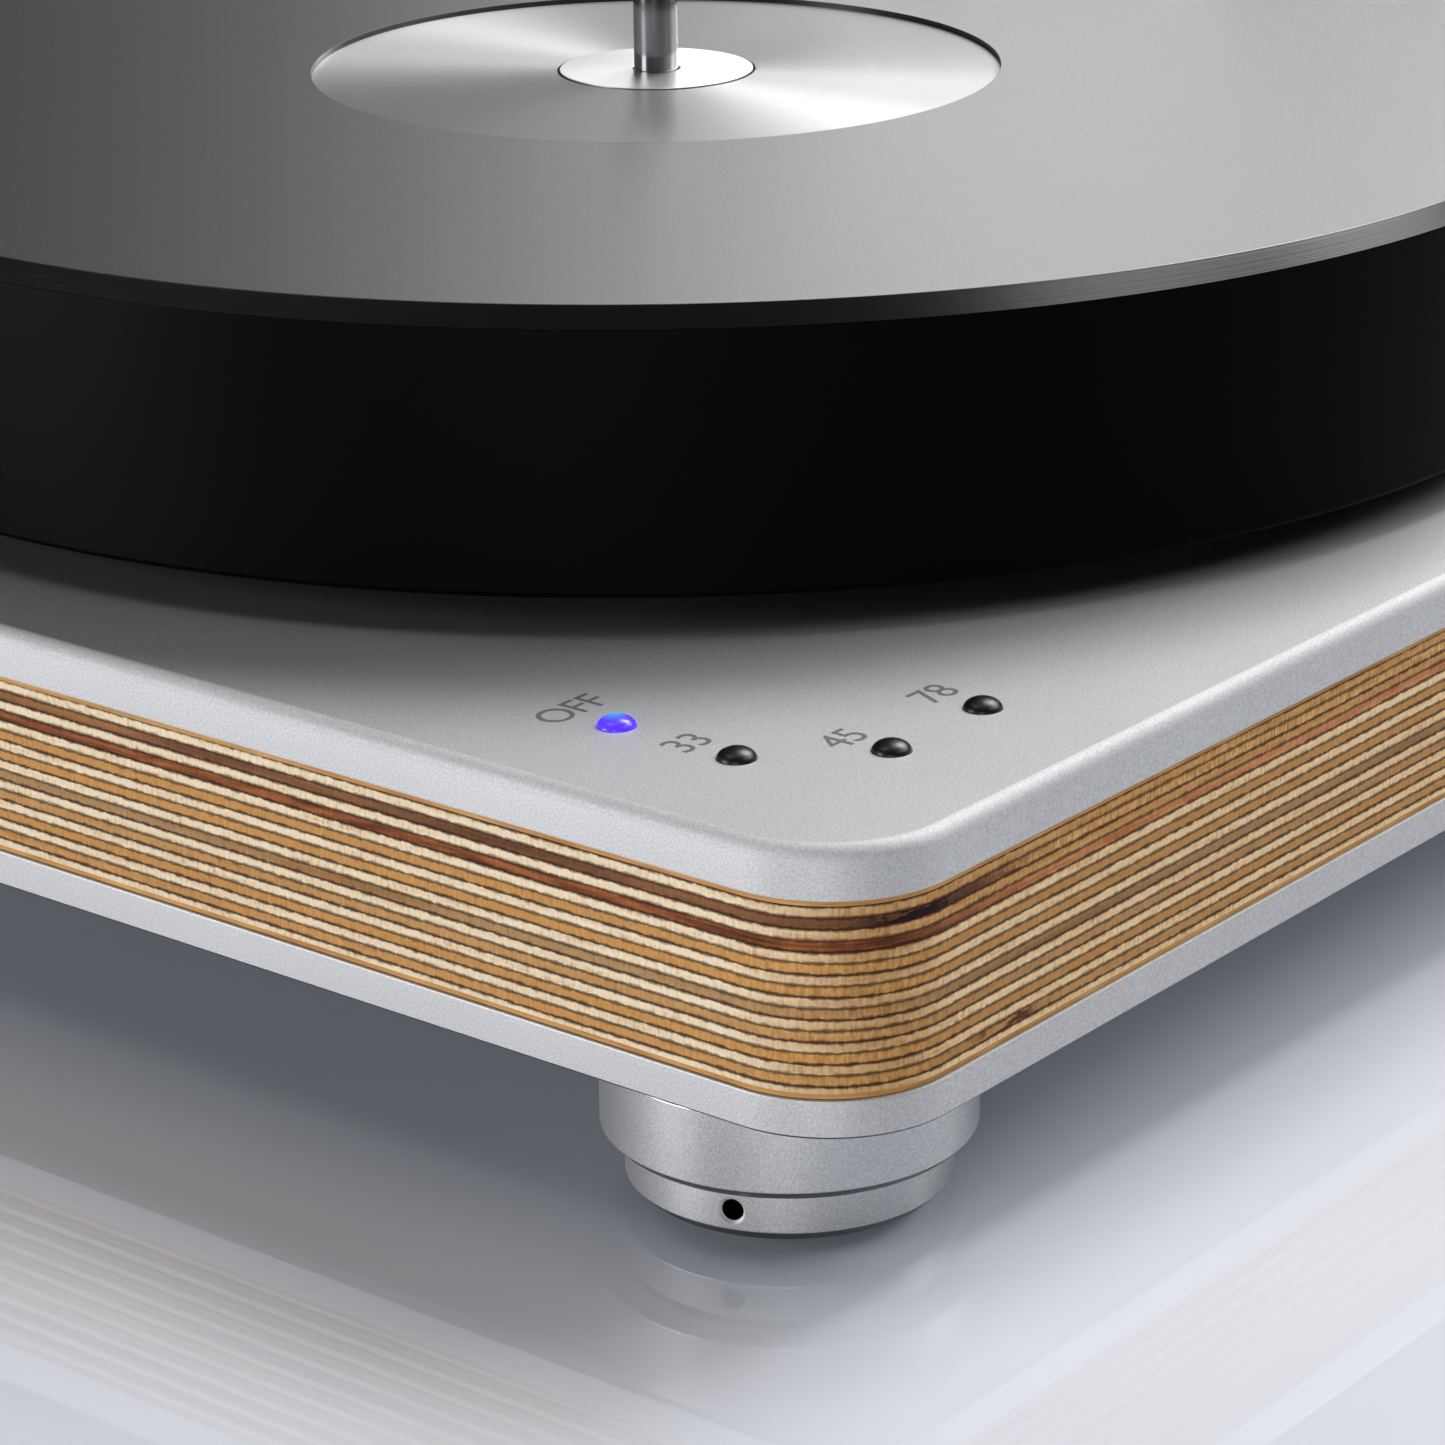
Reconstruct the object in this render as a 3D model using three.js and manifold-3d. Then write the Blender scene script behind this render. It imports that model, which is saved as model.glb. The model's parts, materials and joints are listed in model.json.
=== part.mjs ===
// A belt driven turntable: layered birch core between two aluminium plates, black
// platter, four speed buttons, three levelling feet and a nine inch tonearm.
// Millimetres, +Z up. The origin is the middle of the footprint on the shelf,
// the front edge faces -Y and the platter stands towards the left end.

import * as THREE from "three";
import { mergeVertices } from "three/addons/utils/BufferGeometryUtils.js";
import Module from "manifold-3d";

const wasm = await Module();
wasm.setup();

// Clearances
const seatGap = 0.1; // between faces that rest on each other
const fitGap = 0.3; // round a pin, shaft or plug in its hole
const cutOverrun = 2; // how far a cutter runs past the face it opens

// Chassis
const chassisCornerRadius = 18;
const topPlateThickness = 7.1;
const topPlateEdgeRound = 2;
const woodThickness = 25.9;
const woodInset = 0.5;
const bottomPlateThickness = 5.2;

// Levelling feet
const footInsetX = 25;
const footInsetY = 30;
const footBodyRadius = 24.5;
const footBodyHeight = 11.5;
const footEdgeChamfer = 0.5;
const footBodyChamfer = 1.3;
const footRingChamfer = 1.5;
const footCollarRadius = 18.5;
const footCollarHeight = 0.6;
const footRingRadius = 21.35;
const footRingHeight = 6.5;
const footPadRadius = 14;
const footPadThickness = 2.1;
const footPadPinRadius = 2.5;
const footPadPinHeight = 2.6;
const footStudRadius = 5;
const footStudGrip = 6.5;
const footStudEndRoom = 0.5;
const footTravel = 4;
const tommyHoleRadius = 1.45;
const tommyHoleDrop = 2.4;
const tommyHoleDepth = 8;
const tommyHoleRimRadius = 1.85;
const tommyHoleCount = 3;
const tommyHoleAngle = (198 * Math.PI) / 180;

// Platter
const platterRadius = 151;
const platterToChassisEdge = 16;
const platterBevelWidth = 2;
const platterBevelHeight = 3;
const platterHeight = 40.3;
const platterChassisGap = 5.7;
const platterWebThickness = 16;
const platterRimWall = 15;
const platterFootChamfer = 0.8;
const labelRecessRadius = 55.4;
const labelRecessDepth = 0.85;
const hubDiscRadius = 15.6;
const hubDiscThickness = 2.4;
const hubDiscDrop = 0.65;
const recordThickness = 1.8;

// Sub-platter, spindle and main bearing
const subPlatterThickness = 12;
const subPlatterBossRadius = 17;
const subPlatterBossHeight = 8;
const spindlePinRadius = 3.55;
const spindlePinRise = 20;
const spindleTipRound = 1.4;
const spindleShaftRadius = 6;
const bearingBarrelRadius = 15;
const bearingFlangeRadius = 28;
const bearingFlangeThickness = 3.5;
const bearingCollarRadius = 13;
const bearingCollarHeight = 8;
const bearingBushWall = 3.4;
const bearingBushHeight = 10;
const bearingFloorThickness = 2;
const bearingBottomRoom = 1.5;
const thrustPadThickness = 1.6;
const thrustBallRadius = 3;
const thrustPadRadius = 8;

// Motor and belt
const motorAngle = (135 * Math.PI) / 180;
const motorCanRadius = 18;
const motorCanHeight = 22.5;
const motorPocketGap = 2;
const motorIsolatorThickness = 1.5;
const motorShaftRadius = 2.5;
const motorShaftHoleRadius = 8;
const motorShaftDepth = 14;
const pulleyRadius = 12;
const pulleyFlange = 1.2;
const pulleyFlangeThickness = 1;
const pulleyRimHeight = 9;
const pulleyRoom = 6.8;
const beltHeight = 4;
const beltThickness = 1.2;

// Speed buttons and their board
const buttonInset = 21;
const buttonPitch = 19.6;
const buttonRadius = 2.6;
const buttonDomeHeight = 1.5;
const buttonHoleGap = 0.15;
const buttonFlangeRadius = 3.6;
const buttonFlangeThickness = 0.8;
const buttonStemRadius = 1.1;
const buttonTravel = 0.6;
const buttonStemInSwitch = 0.7;
const boardPocketMargin = 0.5;
const boardPocketDepth = 8.1;
const boardWallGap = 1;
const boardThickness = 1.6;
const switchSize = 6;

// Rear connections
const rearPocketWidth = 38;
const rearPocketHeight = 18;
const rearPocketDepth = 22;
const rearPocketInset = 60;
const panelThickness = 2;
const phonoSocketRadius = 4.2;
const phonoSocketReach = 10;
const phonoSocketSpacing = 11;
const phonoPinHoleRadius = 1.7;
const phonoPinHoleDepth = 8;
const groundPostRadius = 2;
const groundKnobRadius = 3.6;
const groundKnobHeight = 5;
const groundPostReach = 9;
const inletWidth = 12;
const inletHeight = 11;
const inletReach = 5;
const inletTail = 9;
const inletBoreRadius = 3.1;
const inletBoreDepth = 9;
const inletPinRadius = 1;

// Wiring in the core
const channelWidth = 6;
const channelDepth = 6;
const leadWidth = 4;
const leadHeight = 3;
const channelEdgeInset = 10;

// Tonearm: pivot, base and bearings
const armPivotInsetX = 52;
const armPivotInsetY = 72.75;
const armPivotToPlatter = 71;
const armAxisAboveRecord = 20;
const armBaseFlangeRadius = 26;
const armBaseFlangeHeight = 6;
const armBaseSleeveRadius = 16;
const armBaseSleeveHeight = 32;
const armPillarRadius = 11;
const armPillarWireBore = 3;
const armPillarBelow = 20;
const armSpigotRadius = 6;
const armSpigotHeight = 4;
const armClampScrewRadius = 2.2;
const armClampScrewHeight = 24;
const armClampScrewHead = 3;
const yokeRadius = 17;
const yokeBaseThickness = 4;
const yokeBelowAxis = 16;
const yokeCheekThickness = 4;
const yokeCheekWidth = 10;
const yokeCheekRise = 6;
const pivotPinRadius = 2;
const pivotPinHead = 1;
const pivotPinBite = 2.2;
const armBlockWidth = 18;
const armBlockLength = 24;
const armBlockHeight = 16;

// Tonearm: tube, head and counterweight
const armOverhang = 18;
const armTubeRadius = 4.5;
const armTubeWall = 0.9;
const armTubeBite = 10;
const headAngle = (27 * Math.PI) / 180;
const headReach = 35;
const headWidth = 18;
const headThickness = 3.5;
const headFront = 12;
const headBack = 6;
const headCornerRadius = 4;
const headNeckLength = 10;
const headSlotWidth = 2.6;
const headSlotLength = 12;
const headSlotSpacing = 12.7;
const cartridgeWidth = 16.5;
const cartridgeLength = 26;
const cartridgeHeight = 14.2;
const cartridgeNose = 5;
const cartridgeNoseRise = 4;
const stylusHolderWidth = 6;
const stylusHolderLength = 9;
const stylusHolderHeight = 2.4;
const cantileverWidth = 1;
const fingerLiftRadius = 1.1;
const fingerLiftReach = 14;
const fingerLiftDrop = 5;
const weightShaftRadius = 4;
const weightShaftLength = 58;
const weightRadius = 14.5;
const weightLength = 20;
const weightStart = 30;
const weightEdgeChamfer = 1.2;

// Tonearm: deck, cue lift, rest and anti-skate dial
const deckThickness = 6;
const deckHubRadius = 17;
const deckArmHalfWidth = 7;
const liftRadius = 50;
const liftStroke = 2.5;
const liftBarWidth = 5;
const liftBarThickness = 3;
const liftFirstAngle = (-5 * Math.PI) / 180;
const liftLastAngle = (57 * Math.PI) / 180;
const liftPostAngle = (27 * Math.PI) / 180;
const liftPostRadius = 3;
const liftPostGrip = 7.5;
const liftHousingRadius = 7;
const liftHousingHeight = 15;
const leverAxisHeight = 8;
const leverOffset = 14;
const leverLength = 34;
const leverRodRadius = 1.8;
const leverShaftRadius = 2;
const leverShaftBite = 3;
const leverKnobRadius = 3.4;
const leverKnobLength = 9;
const leverLugThickness = 4;
const leverLugWidth = 9;
const leverLugRise = 4;
const restDistance = 75;
const restPostRadius = 4;
const restLength = 8;
const restFloorThickness = 3;
const restLipWidth = 2;
const restWallThickness = 4.2;
const restWallRise = 4.6;
const restEarThickness = 1.2;
const restEarHeight = 5;
const latchThickness = 2.4;
const latchLength = 14.5;
const latchHookLength = 4;
const latchHookThickness = 1.4;
const latchPinRadius = 1.1;
const dialOffset = 24;
const dialRadius = 7.5;
const dialHeight = 7;
const dialStemRadius = 2;
const dialStemLength = 5;
const dialGripDepth = 0.5;
const dialGripCount = 12;
const dialLobeRadius = 9;

// How finely round shapes are cut
const fineSteps = 72;
const mediumSteps = 24;
const smallSteps = 14;
const tinySteps = 8;
const cornerSteps = 4;

// Levels above the shelf
const ringBottom = footPadThickness + seatGap;
const ringTop = ringBottom + footRingHeight;
const footCollarBottom = ringTop + seatGap;
const footBodyBottom = footCollarBottom + footCollarHeight;
const footStudTop = ringTop + footStudGrip + footTravel;
const footBodyTop = footBodyBottom + footBodyHeight;
const bottomPlateBottom = footBodyTop + seatGap;
const woodBottom = bottomPlateBottom + bottomPlateThickness + seatGap;
const woodTop = woodBottom + woodThickness;
const topPlateBottom = woodTop + seatGap;
const chassisTop = topPlateBottom + topPlateThickness;
const platterBottom = chassisTop + platterChassisGap;
const platterTop = platterBottom + platterHeight;
const recordTop = platterTop + recordThickness;
const armAxisLevel = recordTop + armAxisAboveRecord;

// Places in plan: the platter stands as far from the left end as from the front and rear,
// the arm's pivot beside it, and the pulley between the sub-platter and the platter's rim
const platterInset = platterRadius + platterToChassisEdge;
const armPivotToSpindle = platterRadius + armPivotToPlatter;
const armPivotBack = platterInset - armPivotInsetY;
const armPivotAcross = Math.sqrt(armPivotToSpindle ** 2 - armPivotBack ** 2);
const armEffectiveLength = armPivotToSpindle + armOverhang;
const chassisDepth = 2 * platterInset;
const chassisLength = platterInset + armPivotAcross + armPivotInsetX;
const platterX = platterInset - chassisLength / 2;
const platterY = 0;
const armX = platterX + armPivotAcross;
const armY = platterY + armPivotBack;
const platterTopRadius = platterRadius - platterBevelWidth;
const platterCavityRadius = platterRadius - platterRimWall;
const pulleyOuterRadius = pulleyRadius + pulleyFlange;
const pulleyCentreDistance = platterCavityRadius - pulleyOuterRadius - pulleyRoom;
const subPlatterRadius = pulleyCentreDistance - pulleyOuterRadius - pulleyRoom;
const motorX = platterX + pulleyCentreDistance * Math.cos(motorAngle);
const motorY = platterY + pulleyCentreDistance * Math.sin(motorAngle);

// Materials
function finish(colour, roughness, metalness) {
  return new THREE.MeshStandardMaterial({ color: colour, roughness, metalness });
}
const blastedAluminium = () => finish("#b9babd", 0.42, 0.9);
const satinAluminium = () => finish("#c4c5c8", 0.32, 0.95);
const layeredBirch = () => finish("#b98a55", 0.55, 0);
const blackAcetal = () => finish("#101011", 0.38, 0);
const blackPlastic = () => finish("#17171a", 0.4, 0);
const polishedSteel = () => finish("#d8d8da", 0.15, 1);
const darkSteel = () => finish("#55575c", 0.35, 0.9);
const bronze = () => finish("#a9793c", 0.4, 0.9);
const rubber = () => finish("#1c1c1d", 0.8, 0);
const boardGreen = () => finish("#1f4a33", 0.5, 0);
const litBlue = () => finish("#4a35f0", 0.25, 0);

// From a three.js geometry to a solid, and back
function solid(geometry) {
  const bare = geometry.clone();
  bare.deleteAttribute("normal");
  bare.deleteAttribute("uv");
  const merged = mergeVertices(bare);
  const place = merged.attributes.position;
  const corners = merged.index.array;
  const kept = [];
  for (let i = 0; i < corners.length; i += 3) {
    const [a, b, c] = [corners[i], corners[i + 1], corners[i + 2]];
    if (a !== b && b !== c && c !== a) kept.push(a, b, c);
  }
  const build = (list) =>
    new wasm.Manifold(
      new wasm.Mesh({
        numProp: 3,
        vertProperties: new Float32Array(place.array),
        triVerts: new Uint32Array(list),
      }),
    );
  const body = build(kept);
  if (body.volume() > 0) return body;
  const flipped = [];
  for (let i = 0; i < kept.length; i += 3) flipped.push(kept[i], kept[i + 2], kept[i + 1]);
  return build(flipped);
}

function geometryOf(body) {
  const mesh = body.getMesh();
  const geometry = new THREE.BufferGeometry();
  geometry.setAttribute("position", new THREE.BufferAttribute(mesh.vertProperties, mesh.numProp));
  geometry.setIndex(new THREE.BufferAttribute(mesh.triVerts, 1));
  geometry.computeVertexNormals();
  return geometry;
}

const cut = (body, tools) => tools.reduce((left, tool) => left.subtract(tool), body);
const join = (bodies) => bodies.reduce((all, one) => all.add(one));

// Round bodies: profile points are [radius, height] pairs
function turned(profile, steps) {
  const points = profile.map(([radius, height]) => new THREE.Vector2(radius, height));
  const geometry = new THREE.LatheGeometry(points, steps);
  return geometry.rotateX(Math.PI / 2);
}

function ringProfile(inner, outer, bottom, top) {
  return [
    [inner, bottom],
    [outer, bottom],
    [outer, top],
    [inner, top],
    [inner, bottom],
  ];
}

function rodAlongZ(radius, bottom, top, steps) {
  const geometry = new THREE.CylinderGeometry(radius, radius, top - bottom, steps);
  return geometry.rotateX(Math.PI / 2).translate(0, 0, (bottom + top) / 2);
}

function rodAlongY(radius, start, end, steps) {
  const geometry = new THREE.CylinderGeometry(radius, radius, Math.abs(end - start), steps);
  return geometry.translate(0, (start + end) / 2, 0);
}

function rodAlongX(radius, start, end, steps) {
  const geometry = new THREE.CylinderGeometry(radius, radius, Math.abs(end - start), steps);
  return geometry.rotateZ(Math.PI / 2).translate((start + end) / 2, 0, 0);
}

// A box between two opposite corners
function block([x0, y0, z0], [x1, y1, z1]) {
  const geometry = new THREE.BoxGeometry(x1 - x0, y1 - y0, z1 - z0);
  return geometry.translate((x0 + x1) / 2, (y0 + y1) / 2, (z0 + z1) / 2);
}

function roundedRectangle(length, depth, radius) {
  const [x, y, half] = [length / 2, depth / 2, Math.PI / 2];
  const shape = new THREE.Shape();
  shape.moveTo(x, y - radius);
  shape.absarc(x - radius, y - radius, radius, 0, half);
  shape.absarc(-x + radius, y - radius, radius, half, 2 * half);
  shape.absarc(-x + radius, -y + radius, radius, 2 * half, 3 * half);
  shape.absarc(x - radius, -y + radius, radius, 3 * half, 4 * half);
  return shape;
}

// A bar with round ends between two points in plan
function capsule([x0, y0], [x1, y1], radius) {
  const heading = Math.atan2(y1 - y0, x1 - x0);
  const shape = new THREE.Shape();
  shape.absarc(x1, y1, radius, heading - Math.PI / 2, heading + Math.PI / 2);
  shape.absarc(x0, y0, radius, heading + Math.PI / 2, heading + (3 * Math.PI) / 2);
  return shape;
}

function slab(shape, bottom, top, steps = cornerSteps) {
  const geometry = new THREE.ExtrudeGeometry(shape, {
    depth: top - bottom,
    bevelEnabled: false,
    curveSegments: steps,
  });
  return geometry.translate(0, 0, bottom);
}

// A side view drawn in Y and Z, extruded across X about the middle
function acrossX(points, width) {
  const shape = new THREE.Shape(points.map(([y, z]) => new THREE.Vector2(y, z)));
  const geometry = new THREE.ExtrudeGeometry(shape, { depth: width, bevelEnabled: false });
  return geometry.translate(0, 0, -width / 2).rotateY(Math.PI / 2).rotateX(Math.PI / 2);
}

const moved = (geometry, x, y, z = 0) => geometry.translate(x, y, z);

function piece(name, shape, material) {
  const geometry = shape instanceof THREE.BufferGeometry ? shape : geometryOf(shape);
  const mesh = new THREE.Mesh(geometry, material);
  mesh.name = name;
  return mesh;
}

function groupAt(x, y, z, ...members) {
  const group = new THREE.Group();
  group.position.set(x, y, z);
  group.add(...members);
  return group;
}

// Button places follow the front left corner
const cornerX = -chassisLength / 2;
const cornerY = -chassisDepth / 2;
const buttonCornerStep = buttonPitch / Math.SQRT2;
const buttonPlaces = {
  button_off: [cornerX + buttonInset, cornerY + buttonInset + buttonCornerStep + buttonPitch],
  button_33: [cornerX + buttonInset, cornerY + buttonInset + buttonCornerStep],
  button_45: [cornerX + buttonInset + buttonCornerStep, cornerY + buttonInset],
  button_78: [cornerX + buttonInset + buttonCornerStep + buttonPitch, cornerY + buttonInset],
};

// Main bearing levels
const bearingBarrelBottom = woodBottom + bearingBottomRoom;
const bearingWellFloor = bearingBarrelBottom + bearingFloorThickness;
const bearingBoreRadius = spindleShaftRadius + fitGap + bearingBushWall + fitGap;
const bearingFlangeBottom = chassisTop + seatGap;
const bearingFlangeTop = bearingFlangeBottom + bearingFlangeThickness;
const bearingCollarTop = bearingFlangeBottom + bearingCollarHeight;
const thrustPadBottom = bearingWellFloor + seatGap;
const thrustPadTop = thrustPadBottom + thrustPadThickness;
const thrustBallLevel = thrustPadTop + seatGap + thrustBallRadius;
const shaftBottom = thrustBallLevel + thrustBallRadius + seatGap;
const upperBushTop = bearingCollarTop - seatGap;
const lowerBushBottom = shaftBottom;

// Platter levels
const webUnderside = platterTop - platterWebThickness;
const subPlatterTop = webUnderside - seatGap;
const subPlatterBottom = subPlatterTop - subPlatterThickness;
const subPlatterBossBottom = subPlatterBottom - subPlatterBossHeight;
const hubDiscTop = platterTop - hubDiscDrop;
const hubDiscBottom = hubDiscTop - hubDiscThickness;
const hubPocketFloor = hubDiscBottom - seatGap;
const spindleBoreRadius = spindlePinRadius + fitGap;
const beltMiddle = (subPlatterTop + subPlatterBottom) / 2;

// Motor levels
const motorIsolatorTop = woodTop;
const motorIsolatorBottom = motorIsolatorTop - motorIsolatorThickness;
const motorCanTop = motorIsolatorBottom - seatGap;
const motorCanBottom = motorCanTop - motorCanHeight;
const motorPocketRadius = motorCanRadius + motorPocketGap;
const pulleyBottom = beltMiddle - pulleyRimHeight / 2;
const pulleyTop = beltMiddle + pulleyRimHeight / 2;

// Board levels
const boardPocketFloor = woodTop - boardPocketDepth;
const boardBottom = boardPocketFloor + seatGap;
const boardTop = boardBottom + boardThickness;
const buttonFlangeTop = topPlateBottom - seatGap;
const buttonFlangeBottom = buttonFlangeTop - buttonFlangeThickness;
const switchTop = buttonFlangeBottom - buttonTravel - fitGap;
const buttonStemBottom = switchTop - buttonStemInSwitch;
const boardPocketInset = buttonInset - buttonFlangeRadius - boardPocketMargin;
const boardPocketSize = buttonCornerStep + buttonPitch + 2 * (buttonFlangeRadius + boardPocketMargin);
const boardPocketLow = [cornerX + boardPocketInset, cornerY + boardPocketInset];
const boardPocketHigh = [boardPocketLow[0] + boardPocketSize, boardPocketLow[1] + boardPocketSize];

// Rear pocket places
const rearY = chassisDepth / 2 - woodInset;
const pocketFloorY = rearY - rearPocketDepth;
const panelBackY = pocketFloorY + seatGap;
const panelFrontY = panelBackY + panelThickness;
const rearPocketX = chassisLength / 2 - rearPocketInset;
const rearLevel = (woodBottom + woodTop) / 2;

// Chassis plates and core
function plateShape(inset) {
  return roundedRectangle(
    chassisLength - 2 * inset,
    chassisDepth - 2 * inset,
    chassisCornerRadius - inset,
  );
}

function makeTopPlate() {
  const bottom = topPlateBottom - cutOverrun;
  const round = topPlateEdgeRound;
  const geometry = new THREE.ExtrudeGeometry(plateShape(round), {
    depth: chassisTop - bottom - 2 * round,
    bevelEnabled: true,
    bevelThickness: round,
    bevelSize: round,
    bevelSegments: 3,
    curveSegments: cornerSteps,
  });
  geometry.translate(0, 0, bottom + round);
  const span = chassisLength / 2 + cutOverrun;
  const below = block([-span, -span, bottom - cutOverrun], [span, span, topPlateBottom]);
  const hole = (radius, x, y, steps) =>
    solid(moved(rodAlongZ(radius, topPlateBottom - cutOverrun, chassisTop + cutOverrun, steps), x, y));
  return cut(solid(geometry), [
    solid(below),
    hole(bearingBarrelRadius + fitGap, platterX, platterY, mediumSteps),
    hole(motorShaftHoleRadius, motorX, motorY, smallSteps),
    hole(armPillarRadius + fitGap, armX, armY, mediumSteps),
    ...Object.values(buttonPlaces).map(([x, y]) =>
      hole(buttonRadius + buttonHoleGap, x, y, smallSteps),
    ),
  ]);
}

function rearPocket(x) {
  const half = [rearPocketWidth / 2, rearPocketHeight / 2];
  return block(
    [x - half[0], pocketFloorY, rearLevel - half[1]],
    [x + half[0], rearY + cutOverrun, rearLevel + half[1]],
  );
}

// The supply lead runs in a channel along the left edge, the motor lead across to its pocket,
// and the signal lead from under the arm's pillar to the output panel
const channelX = cornerX + woodInset + channelEdgeInset + channelWidth / 2;
const channelFloor = woodTop - channelDepth;
const leadBottom = channelFloor + seatGap;
const supplyLeadY = pocketFloorY - channelEdgeInset;
const leadEndY = pocketFloorY - seatGap - fitGap;
const pillarBottom = chassisTop - armPillarBelow;
const signalLeadTop = pillarBottom - fitGap;
const signalLeadBottom = signalLeadTop - leadHeight;

function channelAlongY(x, y0, y1, half, bottom, top) {
  return block([x - half, y0, bottom], [x + half, y1, top]);
}

function channelAlongX(y, x0, x1, half, bottom, top) {
  return block([x0, y - half, bottom], [x1, y + half, top]);
}

function makeWoodCore() {
  const shape = plateShape(woodInset);
  const half = channelWidth / 2;
  const top = woodTop + cutOverrun;
  const hole = (radius, x, y) =>
    solid(moved(rodAlongZ(radius, woodBottom - cutOverrun, top, mediumSteps), x, y));
  const pocket = block([...boardPocketLow, boardPocketFloor], [...boardPocketHigh, top]);
  const boardY = boardPocketHigh[1];
  const inletDrop = block(
    [-rearPocketX - half, pocketFloorY - channelEdgeInset - half, rearLevel - half],
    [-rearPocketX + half, pocketFloorY + cutOverrun, top],
  );
  const signalEnd = pocketFloorY + cutOverrun;
  const signalFloor = signalLeadBottom - seatGap;
  return cut(solid(slab(shape, woodBottom, woodTop)), [
    hole(bearingBarrelRadius + fitGap, platterX, platterY),
    hole(motorPocketRadius, motorX, motorY),
    hole(armPillarRadius + fitGap, armX, armY),
    solid(pocket),
    solid(rearPocket(-rearPocketX)),
    solid(rearPocket(rearPocketX)),
    solid(inletDrop),
    solid(channelAlongY(armX, armY, signalEnd, half, signalFloor, top)),
    solid(channelAlongY(channelX, boardY - half, supplyLeadY + half, half, channelFloor, top)),
    solid(channelAlongX(supplyLeadY, channelX - half, -rearPocketX, half, channelFloor, top)),
    solid(channelAlongX(motorY, channelX, motorX - motorCanRadius, half, channelFloor, top)),
  ]);
}

function makeBottomPlate() {
  return slab(plateShape(0), bottomPlateBottom, bottomPlateBottom + bottomPlateThickness);
}

function makeSupplyLead() {
  const half = leadWidth / 2;
  const top = leadBottom + leadHeight;
  const start = boardPocketHigh[1] + boardWallGap;
  const drop = rearLevel - half;
  return join([
    solid(channelAlongY(channelX, start, supplyLeadY + half, half, leadBottom, top)),
    solid(channelAlongX(supplyLeadY, channelX, -rearPocketX + half, half, leadBottom, top)),
    solid(block([-rearPocketX - half, supplyLeadY - half, drop], [-rearPocketX + half, leadEndY, top])),
  ]);
}

function makeMotorLead() {
  const start = channelX + leadWidth / 2 + fitGap;
  const end = motorX - motorCanRadius - fitGap;
  return channelAlongX(motorY, start, end, leadWidth / 2, leadBottom, leadBottom + leadHeight);
}

const makeSignalLead = () =>
  channelAlongY(armX, armY, leadEndY, leadWidth / 2, signalLeadBottom, signalLeadTop);

const chassis = groupAt(
  0,
  0,
  0,
  piece("top_plate", makeTopPlate(), blastedAluminium()),
  piece("wood_core", makeWoodCore(), layeredBirch()),
  piece("bottom_plate", makeBottomPlate(), blastedAluminium()),
  piece("supply_lead", makeSupplyLead(), rubber()),
  piece("motor_lead", makeMotorLead(), rubber()),
  piece("signal_lead", makeSignalLead(), rubber()),
);

// Main bearing: housing, two bushes, pad and ball
function makeBearingHousing() {
  const profile = [
    [0, bearingBarrelBottom],
    [bearingBarrelRadius, bearingBarrelBottom],
    [bearingBarrelRadius, bearingFlangeBottom],
    [bearingFlangeRadius, bearingFlangeBottom],
    [bearingFlangeRadius, bearingFlangeTop],
    [bearingCollarRadius, bearingFlangeTop],
    [bearingCollarRadius, bearingCollarTop],
    [bearingBoreRadius, bearingCollarTop],
    [bearingBoreRadius, bearingWellFloor],
    [0, bearingWellFloor],
  ];
  return turned(profile, mediumSteps);
}

function makeBush(bottom) {
  const inner = spindleShaftRadius + fitGap;
  const profile = ringProfile(inner, inner + bearingBushWall, bottom, bottom + bearingBushHeight);
  return turned(profile, smallSteps);
}

const bearing = groupAt(
  platterX,
  platterY,
  0,
  piece("bearing_housing", makeBearingHousing(), satinAluminium()),
  piece("bearing_bush_upper", makeBush(upperBushTop - bearingBushHeight), bronze()),
  piece("bearing_bush_lower", makeBush(lowerBushBottom), bronze()),
  piece(
    "thrust_pad",
    rodAlongZ(thrustPadRadius, thrustPadBottom, thrustPadTop, smallSteps),
    blackPlastic(),
  ),
  piece(
    "thrust_ball",
    solid(moved(new THREE.SphereGeometry(thrustBallRadius, smallSteps, tinySteps), 0, 0, thrustBallLevel)),
    polishedSteel(),
  ),
);

// Platter with its label recess, hub disc, spindle and sub-platter
function makePlatter() {
  const profile = [
    [platterCavityRadius, platterBottom],
    [platterRadius - platterFootChamfer, platterBottom],
    [platterRadius, platterBottom + platterFootChamfer],
    [platterRadius, platterTop - platterBevelHeight],
    [platterTopRadius, platterTop],
    [labelRecessRadius, platterTop],
    [labelRecessRadius, platterTop - labelRecessDepth],
    [hubDiscRadius + fitGap, platterTop - labelRecessDepth],
    [hubDiscRadius + fitGap, hubPocketFloor],
    [spindleBoreRadius, hubPocketFloor],
    [spindleBoreRadius, webUnderside],
    [platterCavityRadius, webUnderside],
    [platterCavityRadius, platterBottom],
  ];
  return turned(profile, fineSteps);
}

function makeSpindle() {
  const top = platterTop + spindlePinRise;
  const shoulder = subPlatterTop - subPlatterThickness / 2;
  const tip = spindleTipRound * Math.SQRT1_2;
  const profile = [
    [0, shaftBottom],
    [spindleShaftRadius, shaftBottom],
    [spindleShaftRadius, shoulder],
    [spindlePinRadius, shoulder],
    [spindlePinRadius, top - spindleTipRound],
    [spindlePinRadius - spindleTipRound + tip, top - spindleTipRound + tip],
    [spindlePinRadius - spindleTipRound, top],
    [0, top],
  ];
  return turned(profile, smallSteps);
}

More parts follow.
